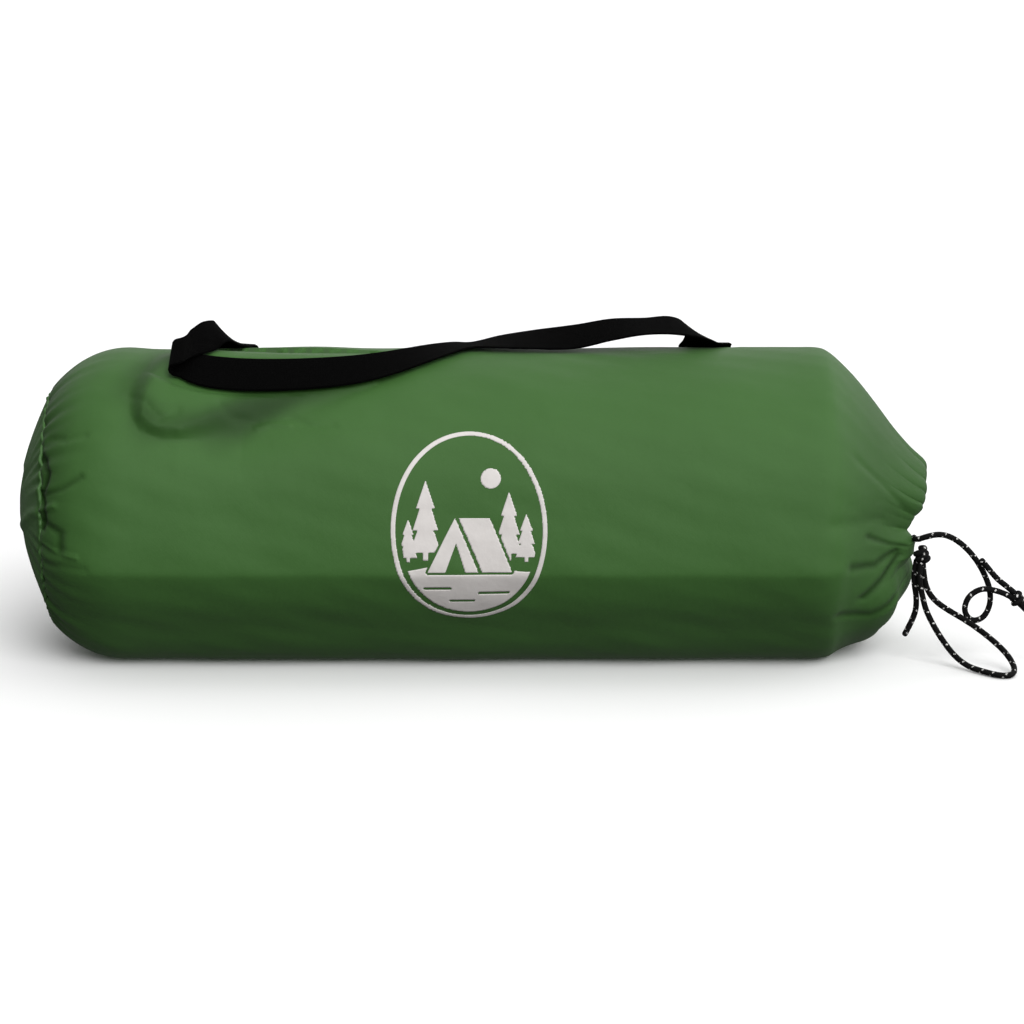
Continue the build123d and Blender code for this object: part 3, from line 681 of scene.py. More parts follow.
def painted_shade_amount(x, h):
    """0 on open cloth to 1 where shade is painted into the cloth's colour: a band along the outside of the
    strap's swell, standing in for the shade of its dip and the strap's shadow, and the deep creases.
    The end beside the sewn seam, more towards the top, and the cone towards the mouth get painted shade too."""
    reach = np.interp(x, PAINTED_SHADE_X, PAINTED_SHADE_REACH) * (1 + 0.25 * np.sin(x / 9.0 + h / 13.0))
    shade = np.interp(x, PAINTED_SHADE_X, PAINTED_SHADE_DEPTH) * np.exp(-((stroke_distance(x, h, PAINTED_SHADE_LINE) / reach) ** 2))
    toward_top = 1 - smoothstep(58 * ARC, 96 * ARC, np.abs(h))
    # Painted shade on the end beside the sewn seam, darker still towards the top.
    shade = shade + (0.34 + 0.26 * toward_top) * (1 - smoothstep(-308, -272, x))
    # Painted shade on the cone that narrows to the mouth.
    shade = shade + 0.26 * smoothstep(240, 280, x)
    # Painted shade in the deep creases.
    for stroke, width, depth in CREASES:
        if depth < -1.1:
            shade = shade - 0.34 * depth * np.exp(-((stroke_distance(x, h, stroke) / width) ** 2))
    return np.clip(shade, 0.0, 1.0)


# %% The cloth surface
FLOOR_GAP = 0.4            # mm that the belly stays above the floor


def cloth_point(s, angle, extra=0.0):
    """The cloth's place for a distance s along the profile and an angle from the top to the front, in
    metres: the profile point, moved by the folds along the profile's normal, turned round the sagging
    and tilting axis, and pressed up from the floor."""
    x = np.interp(s, profile_s, profile_x)
    radius = np.interp(s, profile_s, profile_r)
    slope_x = np.interp(s, profile_s, np.gradient(profile_x, profile_s))
    slope_r = np.interp(s, profile_s, np.gradient(profile_r, profile_s))
    size = np.hypot(slope_x, slope_r)
    lift = cloth_lift(s, x, angle) + extra
    x = x - lift * slope_r / size
    radius = np.maximum(radius + lift * slope_x / size, 1.5)
    share = np.clip((x - SHOULDER_X + 6) / (HEM_X - SHOULDER_X), 0.0, 1.1)
    tilt = HEM_TILT * share
    centre_z = AXIS_Z + (HEM_Z - AXIS_Z) * share
    px = x + radius * np.cos(angle) * np.sin(tilt)
    py = -radius * np.sin(angle)
    pz = centre_z + radius * np.cos(angle) * np.cos(tilt)
    soft = 2.0
    pz = FLOOR_GAP + soft * np.logaddexp(0.0, (pz - FLOOR_GAP) / soft)
    return np.stack([px, py, pz], -1) * MM


def cloth_piece(name, s_values, columns):
    """A closed ring of cloth between two distances along the profile."""
    angles = np.linspace(-np.pi, np.pi, columns, endpoint=False)
    s, angle = np.meshgrid(s_values, angles, indexing="ij")
    around = np.linspace(-np.pi, np.pi, columns + 1) * BAG_R * MM
    made = grid_object(name, cloth_point(s, angle), s_values * MM, around, closed=True)
    ahead = cloth_point(s + 0.4, angle) - cloth_point(s - 0.4, angle)
    round_it = cloth_point(s, angle + 0.004) - cloth_point(s, angle - 0.004)
    normal = np.cross(round_it, ahead).reshape(-1, 3)
    normal /= np.maximum(np.linalg.norm(normal, axis=1), 1e-12)[:, None]
    made.data.normals_split_custom_set_from_vertices(normal.tolist())
    # The 'fold' attribute holds the painted shade that darkens the cloth's colour.
    shade = made.data.attributes.new("fold", "FLOAT", "POINT")
    shade.data.foreach_set("value", painted_shade_amount(np.interp(s, profile_s, profile_x), angle * BAG_R).ravel())
    made.data.materials.append(bag_cloth)
    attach(made, "carry_bag")
    print(name, len(made.data.polygons), "faces")
    return made


near_seam = np.linspace(0.0, s_at(-225.0), 110)
tube_rows = np.linspace(s_at(-225.0), s_at(SHOULDER_X - 10), 150)[1:]
bag_tube = cloth_piece("bag_tube_cloth", np.concatenate([near_seam, tube_rows]), 380)
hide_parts("bag_body")
mouth_rows = np.linspace(s_at(SHOULDER_X - 10), profile_s[-1], 230)
bag_mouth = cloth_piece("drawn_mouth_cloth", mouth_rows, 420)
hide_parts("mouth_gather", "drawcord_hem", "drawcord_in_hem")

# %% The sewn end
PANEL_TIP_X, PANEL_X = -327.0, -303.0


def end_panel():
    """A shallow dome: x rises from the tip with the 1.7th power of the radius, and the seam's puckers
    fade towards the middle."""
    share = np.linspace(0.0, 1.0, 90) ** 0.8
    angles = np.linspace(-np.pi, np.pi, 380, endpoint=False)
    t, angle = np.meshgrid(share, angles, indexing="ij")
    radius = SEAM_R * t
    x = PANEL_TIP_X + (PANEL_X - PANEL_TIP_X) * t**1.7
    pucker = waves(angle, x * 0, (PUCKERS, PUCKERS + 7, PUCKERS - 11, 23, 17), 0.0, 11)
    x = x - 1.3 * pucker * np.exp(-(((1 - t) * SEAM_R / 15.0) ** 1.2)) * t
    x = x - 0.9 * waves(angle, radius, (2, 3, 5), 0.03, 29) * t * (1 - t) * 3
    x = x + 2.2 * np.exp(-(((1 - t) * SEAM_R / 3.0) ** 2))
    y, z = -radius * np.sin(angle), radius * np.cos(angle)
    for (y0, z0), (y1, z1), width, depth in PANEL_CREASES:
        along = ((y - y0) * (y1 - y0) + (z - z0) * (z1 - z0)) / ((y1 - y0) ** 2 + (z1 - z0) ** 2)
        along = np.clip(along, 0, 1)
        off = np.hypot(y - y0 - along * (y1 - y0), z - z0 - along * (z1 - z0))
        x = x - depth * np.exp(-((off / width) ** 2) / 2)
    points = np.stack([x, y, AXIS_Z + z], -1) * MM
    around = np.linspace(-np.pi, np.pi, 381) * SEAM_R * MM
    made = grid_object("end_panel_cloth", points, share * SEAM_R * MM, around, closed=True, flip=True)
    made.data.materials.append(bag_cloth)
    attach(made, "carry_bag")
    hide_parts("bag_end_panel")
    return made


PANEL_CREASES = [          # from (y, z) to (y, z) about the middle in mm, width, depth
    ((-78, 16), (-30, -8), 3.0, 1.6), ((-70, -34), (-20, -14), 3.4, -1.4), ((-60, 48), (-22, 22), 3.0, -1.2),
    ((10, 74), (2, 30), 3.2, 1.3), ((66, 30), (24, 6), 3.0, -1.4), ((58, -48), (16, -18), 3.4, 1.4),
    ((-8, -72), (4, -26), 3.0, -1.3),
]
sewn_end = end_panel()


# %% The end seam's turned edge
def seam_roll():
    """The turned edge that the end seam leaves: a flat oval section, 3 by 4 mm, carried round the seam
    and bent in and out by the same puckers as the cloth beside it."""
    angles = np.linspace(-np.pi, np.pi, 720, endpoint=False)
    section = np.linspace(0.0, 2 * np.pi, 14, endpoint=False)
    angle, v = np.meshgrid(angles, section, indexing="ij")
    pucker = waves(angle, 0 * angle, (PUCKERS, PUCKERS + 7, PUCKERS - 11, 23, 17), 0.0, 11)
    tuft = 1.0 + 0.25 * waves(angle, 0 * angle, (61, 83, 97), 0.0, 19)
    x = PANEL_X + 0.5 - 0.8 * pucker + 1.5 * np.sin(v)
    radius = SEAM_R - 0.2 + 0.5 * pucker + 1.9 * tuft * np.cos(v)
    points = np.stack([x, -radius * np.sin(angle), AXIS_Z + radius * np.cos(angle)], -1) * MM
    points = np.concatenate([points, points[:1]])
    along = np.linspace(0.0, 2 * np.pi * SEAM_R * MM, 721)
    made = grid_object("end_seam_edge", points, along, np.linspace(0, 14 * MM, 15), closed=True)
    made.data.materials.append(seam_finish)
    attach(made, "carry_bag")
    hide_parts("end_seam_binding")


# %% [markdown]
# ### Sewn seams
# The turned edge at the end and the felled seam along the back are the bag's own cloth with two rows of
# lockstitch. Stitches are 3 mm long with a short gap, and the thread is the same green, a little lighter.

# %% Seam cloth with stitches
STITCH = 3.4 * MM


def stitched_cloth(name, rows):
    """Green cloth with rows of dashes; `rows` are distances across the seam where the thread runs."""
    material, tree, shader = new_material(name)
    u, v, _ = uv_parts(tree)
    dash = maths(tree, "LESS_THAN", maths(tree, "FRACT", maths(tree, "DIVIDE", u, STITCH)), 0.72)
    shown = 0.0
    for row in rows:
        near = maths(tree, "LESS_THAN", maths(tree, "ABSOLUTE", maths(tree, "SUBTRACT", v, row)), 0.32 * MM)
        shown = maths(tree, "MAXIMUM", shown, maths(tree, "MULTIPLY", near, dash))
    place = node(tree, "ShaderNodeTexCoord").outputs["Object"]
    mottle = node(tree, "ShaderNodeTexNoise", inputs={"Vector": place, "Scale": 60.0, "Detail": 3.0})
    cloth = mixed(tree, mottle.outputs[0], linear(GREEN_DARK), linear(GREEN))
    colour = mixed(tree, shown, cloth, linear("#6F9A66"))
    tree.links.new(colour, shader.inputs["Base Color"])
    shader.inputs["Roughness"].default_value = 0.6
    height = maths(tree, "MULTIPLY_ADD", shown, 0.8, mottle.outputs[0])
    finish_surface(tree, shader, height, 0.0005)
    return material


seam_finish = stitched_cloth("stitched seam, green polyester", (4.0 * MM, 10.0 * MM))
seam_roll()


# %% The felled seam along the back
SEAM_FROM, SEAM_TO, SEAM_DEGREES, SEAM_W = -301.0, 304.0, -26.5, 9.8


def felled_seam():
    """A strip of doubled cloth over the bag cloth: `extra` is its height, rounded at both edges."""
    x = np.linspace(SEAM_FROM, SEAM_TO, 420)
    across = np.linspace(-1.0, 1.0, 17)
    s, share = np.meshgrid(s_at(x), across, indexing="ij")
    rise = 0.9 * np.clip(1 - np.abs(share) ** 6, 0, 1) - 0.12 + 0.18 * np.sin(s / 3.1) * (1 - share**2)
    angle = np.radians(SEAM_DEGREES) + share * SEAM_W / 2 / BAG_R
    points = cloth_point(s, angle, rise)
    under = cloth_point(s, angle, np.full_like(s, -0.5))
    ring = np.concatenate([points, under[:, ::-1]], axis=1)
    v = np.concatenate([across, across[::-1], across[:1]]) * SEAM_W / 2 * MM
    made = grid_object("back_seam", ring, x * MM, v, closed=True)
    made.data.materials.append(stitched_cloth("felled seam, green polyester", (-2.6 * MM, 2.6 * MM)))
    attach(made, "carry_bag")
    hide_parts("lengthwise_seam")


felled_seam()

# %% [markdown]
# ## The carry strap
# The strap is 38 mm webbing. From the seam at the left it rises behind the bag's top, turns over a slanted
# crest, comes forward and to the left, folds under, and runs back along the front; then it crosses the top
# and stands off it to the right-hand seam. A ribbon is carried through stations of centre and width
# direction, splined between them. Sections may be oblique, so that a crest can lie slantwise.

# %% Strap stations
LIE = 2.0
FOLD_X, FOLD_ANGLE, FOLD_R = -208.0, 18.5, 4.5
LEFT_RISE = [
    ((-176.4, 34.0, 214.2), (0.98, -0.05, -0.04)), ((-177.0, 27.5, 216.8), (0.90, -0.26, -0.12)),
    ((-178.6, 18.5, 223.0), (0.60, -0.70, -0.22)), ((-180.8, 10.0, 228.2), (0.37, -0.92, -0.20)),
    ((-188.5, -5.0, 227.8), (0.30, -0.95, -0.36)), ((-198.5, -18.0, 225.8), (0.13, -0.96, -0.33)),
]
RIGHT_RISE = [
    ((18.0, 11.0, 220.3), (0.0, -0.999, -0.04)), ((39.5, 10.0, 222.0), (0.0, -0.987, -0.16)),
    ((73.0, 10.0, 224.5), (0.0, -0.96, -0.28)), ((98.5, 10.0, 229.5), (0.0, -0.973, -0.23)),
    ((122.0, 10.0, 231.8), (0.0, -0.991, -0.13)), ((141.0, 10.5, 232.3), (0.08, -0.98, -0.16)),
    ((153.0, 12.0, 229.5), (0.28, -0.94, -0.14)), ((160.0, 17.0, 224.5), (0.42, -0.88, -0.05)),
    ((163.5, 25.0, 217.6), (0.70, -0.66, 0.04)), ((165.6, 32.0, 214.6), (0.97, -0.20, 0.06)),
]


def on_bag(x, degrees, lift):
    """The point `lift` mm outside the plain round bag, at that angle from the top to the front."""
    turn = math.radians(degrees)
    return (x, -(BAG_R + lift) * math.sin(turn), AXIS_Z + (BAG_R + lift) * math.cos(turn))


def strap_stations():
    """Centres and width directions from one sewn-down end to the other."""
    tab = [-36.0, -33.0, -30.0, -27.0, -24.0, -21.0]
    left_tab = [(on_bag(SEW_LEFT_X, a, LIE), (1.0, 0.0, 0.0)) for a in tab]
    right_tab = [(on_bag(SEW_RIGHT_X, a, LIE), (1.0, 0.0, 0.0)) for a in reversed(tab)]
    turn = math.radians(FOLD_ANGLE)
    across = (0.0, -math.cos(turn), -math.sin(turn))
    outward = np.array((0.0, -math.sin(turn), math.cos(turn)))
    middle = np.array(on_bag(FOLD_X, FOLD_ANGLE, web_lift(FOLD_X) + FOLD_R))
    bends = np.linspace(0.0, np.pi, 7)
    fold = [
        (middle + FOLD_R * (np.array((-math.sin(b), 0.0, 0.0)) + outward * math.cos(b)), across)
        for b in bends
    ]
    lying = [
        (on_bag(x, a, web_lift(x)), (0.0, -math.cos(math.radians(a)), -math.sin(math.radians(a))))
        for x, a in LYING
    ]
    stations = left_tab + LEFT_RISE + fold + lying + RIGHT_RISE + right_tab
    centres = np.array([np.array(c, float) for c, _ in stations])
    widths = np.array([np.array(w, float) for _, w in stations])
    return centres, widths


def splined(values, knots, at):
    """Catmull-Rom through the values at uneven knots: a cubic whose slope at each knot is the chord of
    its neighbours."""
    slopes = np.gradient(values, knots, axis=0)
    k = np.clip(np.searchsorted(knots, at, side="right") - 1, 0, len(knots) - 2)
    span = (knots[k + 1] - knots[k])[:, None]
    t = (at - knots[k])[:, None] / span
    h00, h10 = 2 * t**3 - 3 * t**2 + 1, t**3 - 2 * t**2 + t
    h01, h11 = -2 * t**3 + 3 * t**2, t**3 - t**2
    return h00 * values[k] + h10 * span * slopes[k] + h01 * values[k + 1] + h11 * span * slopes[k + 1]


def ribbon(name, centres, widths, width, thickness, step=0.9):
    """Webbing carried through the stations. Its section is flat with slightly thicker, rounded edges."""
    knots = arc_lengths(centres)
    at = np.linspace(0.0, knots[-1], int(knots[-1] / step))
    line, across = splined(centres, knots, at), splined(widths, knots, at)
    ahead = np.gradient(line, axis=0)
    ahead /= np.linalg.norm(ahead, axis=1)[:, None]
    out = np.cross(across, ahead)
    out /= np.linalg.norm(out, axis=1)[:, None]
    flat = np.linspace(-1.0, 1.0, 27)
    half = np.sqrt(np.clip(1 - np.abs(flat) ** 12, 0, 1))
    half *= 1 + 0.20 * np.exp(-(((np.abs(flat) - 0.93) / 0.05) ** 2))
    section_w = np.concatenate([flat, flat[-2:0:-1]]) * width / 2
    section_t = np.concatenate([half, -half[-2:0:-1]]) * thickness / 2
    points = line[:, None] + across[:, None] * section_w[:, None] + out[:, None] * section_t[:, None]
    first = points[:1] * 0 + points[:1].mean(axis=1, keepdims=True)
    last = points[-1:] * 0 + points[-1:].mean(axis=1, keepdims=True)
    points = np.concatenate([first, points, last])
    at = np.concatenate([at[:1], at, at[-1:]])
    edge = np.concatenate([section_w, section_w[:1]])
    made = grid_object(name, points * MM, at * MM, edge * MM, closed=True)
    print(name, "length", round(knots[-1]), "mm,", len(made.data.polygons), "faces")
    return made


strap = ribbon("carry_strap_webbing", *strap_stations(), WEB_W, WEB_T)
strap.data.materials.append(webbing_finish)
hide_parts("carry_strap", "strap_sewn_end_left", "strap_sewn_end_right")
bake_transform(strap)

# %% [markdown]
# ## The printed badge
# A pale screen print, 108 mm wide and 140 mm tall on the cloth: an oval ring round a ridge tent, pines and
# a strip of ground. It could be a colour mask, but a print has its own thin, slightly raised skin, so it is
# a mesh. The drawing is a distance function, negative inside the ink. A fine grid on the cloth keeps the
# triangles inside, and grid points near the outline slide onto it, which gives a clean edge.

# %% The drawing as distances
BADGE_X, BADGE_DEGREES = -3.0, 85.4
OVAL = (54.0, 70.0)        # half-width and half-height in mm


def to_polygon(u, w, corners):
    """Signed distance to a polygon: the nearest edge's distance, negative inside."""
    corners = np.array(corners, float)
    nearest, within = np.full(u.shape, 1e9), np.zeros(u.shape, bool)
    for (u0, w0), (u1, w1) in zip(corners, np.roll(corners, -1, axis=0)):
        du, dw = u1 - u0, w1 - w0
        t = np.clip(((u - u0) * du + (w - w0) * dw) / (du * du + dw * dw), 0.0, 1.0)
        nearest = np.minimum(nearest, np.hypot(u - u0 - t * du, w - w0 - t * dw))
        within ^= ((w0 > w) != (w1 > w)) & (u < u0 + (w - w0) * du / (dw + 1e-9))
    return np.where(within, -nearest, nearest)


def to_oval(u, w, half_width, half_height):
    """Signed distance to an oval, near enough close to its edge."""
    k0 = np.hypot(u / half_width, w / half_height)
    k1 = np.hypot(u / half_width**2, w / half_height**2)
    return k0 * (k0 - 1.0) / np.maximum(k1, 1e-6)


def pine(u, w, foot_u, foot_w, width, height):
    """A pine of three tiers on a short trunk, as a polygon scaled from a unit drawing."""
    half = [
        (0.07, 0.0), (0.07, 0.10), (0.50, 0.10), (0.24, 0.38), (0.40, 0.38), (0.17, 0.66), (0.29, 0.66),
        (0.0, 1.0),
    ]
    outline = half + [(-a, b) for a, b in reversed(half[:-1])]
    return to_polygon(u, w, [(foot_u + a * width, foot_w + b * height) for a, b in outline])


PINES = [                  # foot u, foot w, width, height
    (-30.0, -20.0, 21.0, 54.0), (27.5, -20.0, 18.0, 46.0),
    (-42.0, -21.0, 12.0, 28.0), (39.5, -21.0, 14.0, 32.0),
]
TENT = [(-28.0, -28.0), (-9.5, 8.0), (14.0, 8.0), (29.0, -28.0)]
TENT_DOOR = [(-16.5, -28.5), (-9.0, -9.0), (-2.5, -28.5)]
TENT_CORNER = [(-9.6, 9.0), (-7.6, 9.0), (8.8, -28.5), (6.6, -28.5)]      # gap between front and side


def badge_ink(u, w):
    """Distance to the ink: ring, ground, tent with a dark door, moon and pines, each cut clear of the
    one in front of it."""
    inner = to_oval(u, w, OVAL[0] - 7.0, OVAL[1] - 7.0)
    ring = np.maximum(to_oval(u, w, *OVAL), -to_oval(u, w, OVAL[0] - 3.2, OVAL[1] - 3.2))
    hill = w + 25.0 - 3.0 * np.cos((u + 6.0) / 15.0)
    ground = np.maximum(inner, hill)
    tent = to_polygon(u, w, TENT)
    door = to_polygon(u, w, TENT_DOOR)
    trees = np.full(u.shape, 1e9)
    for foot_u, foot_w, width, height in PINES:
        trees = np.minimum(trees, pine(u, w, foot_u, foot_w, width, height) - 0.3)
    trees = np.maximum(np.maximum(trees, inner), -(tent - 2.2))
    trees = np.maximum(trees, 1.6 - hill)
    moon = np.hypot(u - 15.0, w - 36.0) - 7.0
    ground = np.maximum(ground, -(tent - 2.0))
    blades = np.full(u.shape, 1e9)
    for blade_u, blade_w, reach in ((-22.0, -41.0, 9.0), (17.0, -45.0, 10.0), (-5.0, -52.0, 8.0)):
        blades = np.minimum(blades, np.hypot(np.maximum(np.abs(u - blade_u) - reach, 0), w - blade_w) - 0.9)
    ground = np.maximum(ground, -blades)
    tent = np.maximum(np.maximum(tent - 0.5, -door), -(to_polygon(u, w, TENT_CORNER) - 0.2))
    return np.minimum.reduce([ring, ground, tent, trees, moon])


# %% The print's mesh
def snapped_region(distance, low, high, cell):
    """Points and triangles of the region where distance is negative. A grid point nearer to the edge
    than half a cell moves onto it, along the distance's gradient."""
    u = np.linspace(low[0], high[0], int(round((high[0] - low[0]) / cell)) + 1)
    w = np.linspace(low[1], high[1], int(round((high[1] - low[1]) / cell)) + 1)
    p = np.stack(np.meshgrid(u, w, indexing="ij"), -1)
    for _ in range(2):
        d = distance(p[..., 0], p[..., 1])
        e = 0.05 * cell
        du = (distance(p[..., 0] + e, p[..., 1]) - distance(p[..., 0] - e, p[..., 1])) / (2 * e)
        dw = (distance(p[..., 0], p[..., 1] + e) - distance(p[..., 0], p[..., 1] - e)) / (2 * e)
        size = np.maximum(du**2 + dw**2, 0.25)
        near = np.abs(d) < 0.5 * cell
        p = p - np.where(near, d, 0.0)[..., None] * np.stack([du, dw], -1) / size[..., None]
    quads, _, _ = grid_faces(len(u), len(w), False)
    triangles = np.concatenate([quads[:, [0, 1, 2]], quads[:, [0, 2, 3]]])
    flat = p.reshape(-1, 2)
    middle = flat[triangles].mean(axis=1)
    a, b, c = (flat[triangles[:, k]] for k in range(3))
    area = (b[:, 0] - a[:, 0]) * (c[:, 1] - a[:, 1]) - (c[:, 0] - a[:, 0]) * (b[:, 1] - a[:, 1])
    triangles = triangles[(distance(middle[:, 0], middle[:, 1]) < 0) & (np.abs(area) > 0.02 * cell**2)]
    used, renumbered = np.unique(triangles, return_inverse=True)
    return flat[used], renumbered.reshape(-1, 3)


ink_uw, ink_triangles = snapped_region(badge_ink, (-55.0, -71.0), (55.0, 71.0), 0.8)
ink_angle = math.radians(BADGE_DEGREES) - ink_uw[:, 1] / BAG_R
ink_points = cloth_point(s_at(BADGE_X + ink_uw[:, 0]), ink_angle, 0.16)
ink_triangles = ink_triangles[:, ::-1]
badge = add_mesh("printed_badge_ink", ink_points, ink_triangles, ink_uw[ink_triangles] * MM)
badge.data.materials.append(ink_finish)
skin = badge.modifiers.new("ink thickness", "SOLIDIFY")
skin.thickness = 0.10 * MM
skin.offset = -1.0
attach(badge, "carry_bag")
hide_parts("printed_badge")
print("badge", len(badge.data.polygons), "triangles")

# %% [markdown]
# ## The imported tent
# Inside the bag is a tight roll: the flysheet outside, the inner tent inside it, two tie tapes round the
# roll, and in the middle a sleeve of poles and a sleeve of pegs. A roll of cloth shows its layers only at
# the ends, as a spiral, so its end faces get a spiral ridge and its side a free edge, soft waves and a
# waist under each tie.

# %% Cloths of the contents
fly_cloth = woven_polyester("coated polyester, moss green flysheet", "#5C7A45", "#4E6B3A", roughness=0.45)
inner_cloth = woven_polyester(
    "breathable polyester, pale grey inner tent", "#B9BBB2", "#A3A69C", roughness=0.75
)
sleeve_cloth = woven_polyester("uncoated polyester, black sleeve", "#1D1F1E", "#151616", roughness=0.8)
tape_cloth = woven_polyester(
    "woven polyester tape, black", "#161616", "#0E0E0E", thread=1.3 * MM, roughness=0.8
)

# %% The flysheet roll
ROLL_R, ROLL_X0, ROLL_X1, ROLL_FLOOR = 106.0, -268.0, 254.0, 3.9
CORE_R = 72.2
TIE_X = (-130.0, 130.0)


def layers(radius, angle, pitch, edge_angle):
    """Height of rolled layers seen from the end: rounded ridges on a spiral of that pitch."""
    turn = np.mod((angle - edge_angle) / (2 * np.pi), 1.0)
    across = np.mod(radius / pitch - turn, 1.0)
    return np.abs(np.sin(np.pi * across)) ** 0.6


def flysheet_roll():
    """A tube: bore, right end, side, left end, closed on itself. The side's radius drops by a layer at
    the free edge, and the ends carry the layers' spiral."""
    face_r = np.linspace(CORE_R, ROLL_R - 3.0, 60)
    curve = np.linspace(0, np.pi / 2, 8)[1:]
    side_x = np.linspace(ROLL_X0 + 3.5, ROLL_X1 - 3.5, 260)
    rows_x = np.concatenate([
        np.full(60, ROLL_X0), ROLL_X0 + 3.5 * (1 - np.cos(curve)), side_x[1:-1],
        ROLL_X1 - 3.5 * (1 - np.cos(curve[::-1])), np.full(60, ROLL_X1),
        np.linspace(ROLL_X1, ROLL_X0, 40)[1:],
    ])
    rows_r = np.concatenate([
        face_r, ROLL_R - 3.0 + 3.0 * np.sin(curve), np.full(258, ROLL_R),
        ROLL_R - 3.0 + 3.0 * np.sin(curve[::-1]), face_r[::-1], np.full(39, CORE_R),
    ])
    face = np.concatenate([
        np.full(60, -1.0), np.full(7, -0.4), np.zeros(258), np.full(7, 0.4), np.full(60, 1.0),
        np.zeros(39),
    ])
    angles = np.linspace(-np.pi, np.pi, 300, endpoint=False)
    angle = angles[None, :] + 0 * rows_x[:, None]
    x, r = rows_x[:, None] + 0 * angle, rows_r[:, None] + 0 * angle
    ridge = layers(r, angle, 4.4, 0.9) * face[:, None]
    lumps = 1.4 * waves(angle, r, (2, 3, 5), 0.05, 71) * face[:, None] ** 2 * np.sign(face[:, None])
    x = x + 1.9 * ridge - 2.2 * face[:, None] + lumps
    side = smoothstep(ROLL_R - 2.0, ROLL_R, r)
    step = -1.3 * np.mod((angle - 0.9) / (2 * np.pi), 1.0)
    wrinkle = 0.7 * waves(angle, x, (3, 5, 8, 13), 0.05, 73) + 0.25 * waves(angle, x, (21, 34), 0.2, 79)
    waist = sum(-2.2 * np.exp(-(((x - tie) / 13.0) ** 2)) for tie in TIE_X)
    r = r + side * (step + wrinkle - 1.4 + waist)
    z = AXIS_Z + r * np.cos(angle)
    z = np.where(r > CORE_R + 1, ROLL_FLOOR + 1.5 * np.logaddexp(0.0, (z - ROLL_FLOOR) / 1.5), z)
    points = np.stack([x, -r * np.sin(angle), z], -1) * MM
    points = np.concatenate([points, points[:1]])
    along = np.concatenate([[0.0], np.cumsum(np.hypot(np.diff(rows_x), np.diff(rows_r))), [0.0]]) * MM
    around = np.linspace(-np.pi, np.pi, 301) * ROLL_R * MM
    made = grid_object("flysheet_roll_cloth", points, along, around, closed=True)
    made.data.materials.append(fly_cloth)
    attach(made, "tent_roll")
    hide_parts("flysheet_roll")


flysheet_roll()

# %% The inner tent roll
POLE_Z, POLE_BORE, PEG_Z, PEG_BORE = 120.0, 28.0, 64.0, 20.0


def core_region(y, z):
    """Distance to the core's end face: a disc with two holes for the sleeves."""
    disc = np.hypot(y, z - AXIS_Z) - (CORE_R - 0.6)
    return np.maximum.reduce([disc, POLE_BORE - np.hypot(y, z - POLE_Z), PEG_BORE - np.hypot(y, z - PEG_Z)])


def inner_roll():
    """Two end faces with the layers' spiral and rounded rims, joined by walls at every rim edge."""
    yz, triangles = snapped_region(core_region, (-73.0, 30.0), (73.0, 177.0), 1.6)
    y, z = yz[:, 0], yz[:, 1]
    angle, radius = np.arctan2(-y, z - AXIS_Z), np.hypot(y, z - AXIS_Z)
    rim = np.clip(-core_region(y, z), 0.0, 4.0)
    back = 4.0 - np.sqrt(16.0 - (4.0 - rim) ** 2) - 1.6 * layers(radius, angle, 3.6, 0.9)
    right = np.stack([ROLL_X1 - 5.0 - back, y, z], -1)
    left = np.stack([ROLL_X0 + 5.0 + back, y, z], -1)
    edges = np.concatenate([triangles[:, [0, 1]], triangles[:, [1, 2]], triangles[:, [2, 0]]])
    _, first, count = np.unique(np.sort(edges, axis=1), axis=0, return_index=True, return_counts=True)
    rims = edges[first[count == 1]]
    n = len(yz)
    walls = np.stack([rims[:, 0], rims[:, 0] + n, rims[:, 1] + n, rims[:, 1]], -1)
    walls = np.concatenate([walls[:, [0, 1, 2]], walls[:, [0, 2, 3]]])
    faces = np.concatenate([triangles, triangles[:, ::-1] + n, walls])
    points = np.concatenate([right, left])
    uv = points[:, [1, 2]][faces] * MM
    made = add_mesh("inner_tent_roll_cloth", points * MM, faces, uv)
    made.data.materials.append(inner_cloth)
    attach(made, "tent_roll")
    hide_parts("inner_tent_roll")


inner_roll()

# %% The tie tapes
TIE_W, TIE_T = 20.0, 1.2


def tie_tape(side, tie_x):
    """A flat tape round the roll, pressed flat underneath as the roll is, closed in its section."""
    across = np.array([-1, -0.97, -0.6, 0, 0.6, 0.97, 1, 0.97, 0.6, 0, -0.6, -0.97])
    height = np.array([0.5, 0.95, 1, 1, 1, 0.95, 0.5, 0.05, 0, 0, 0, 0.05])
    angles = np.linspace(-np.pi, np.pi, 361)
    angle, k = np.meshgrid(angles, np.arange(12), indexing="ij")
    ruck = 0.5 * waves(angle, 0 * angle, (3, 5, 7), 0.0, 83)
    radius = ROLL_R - 1.2 + height[k] * TIE_T + 0.3 * waves(angle, 0 * angle, (3, 4), 0.0, 89)
    z = AXIS_Z + radius * np.cos(angle)
    floor = ROLL_FLOOR - 0.2 - height[k] * TIE_T
    z = floor + 1.5 * np.logaddexp(0.0, (z - floor) / 1.5)
    points = np.stack([tie_x + across[k] * TIE_W / 2 + ruck, -radius * np.sin(angle), z], -1) * MM
    v = np.append(across, across[0]) * TIE_W / 2 * MM
    made = grid_object(f"tie_tape_{side}", points, angles * ROLL_R * MM, v, closed=True)
    made.data.materials.append(tape_cloth)
    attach(made, "tent_roll")
    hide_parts(f"roll_tie_{side}")


for side, tie_x in zip(("left", "right"), TIE_X):
    tie_tape(side, tie_x)


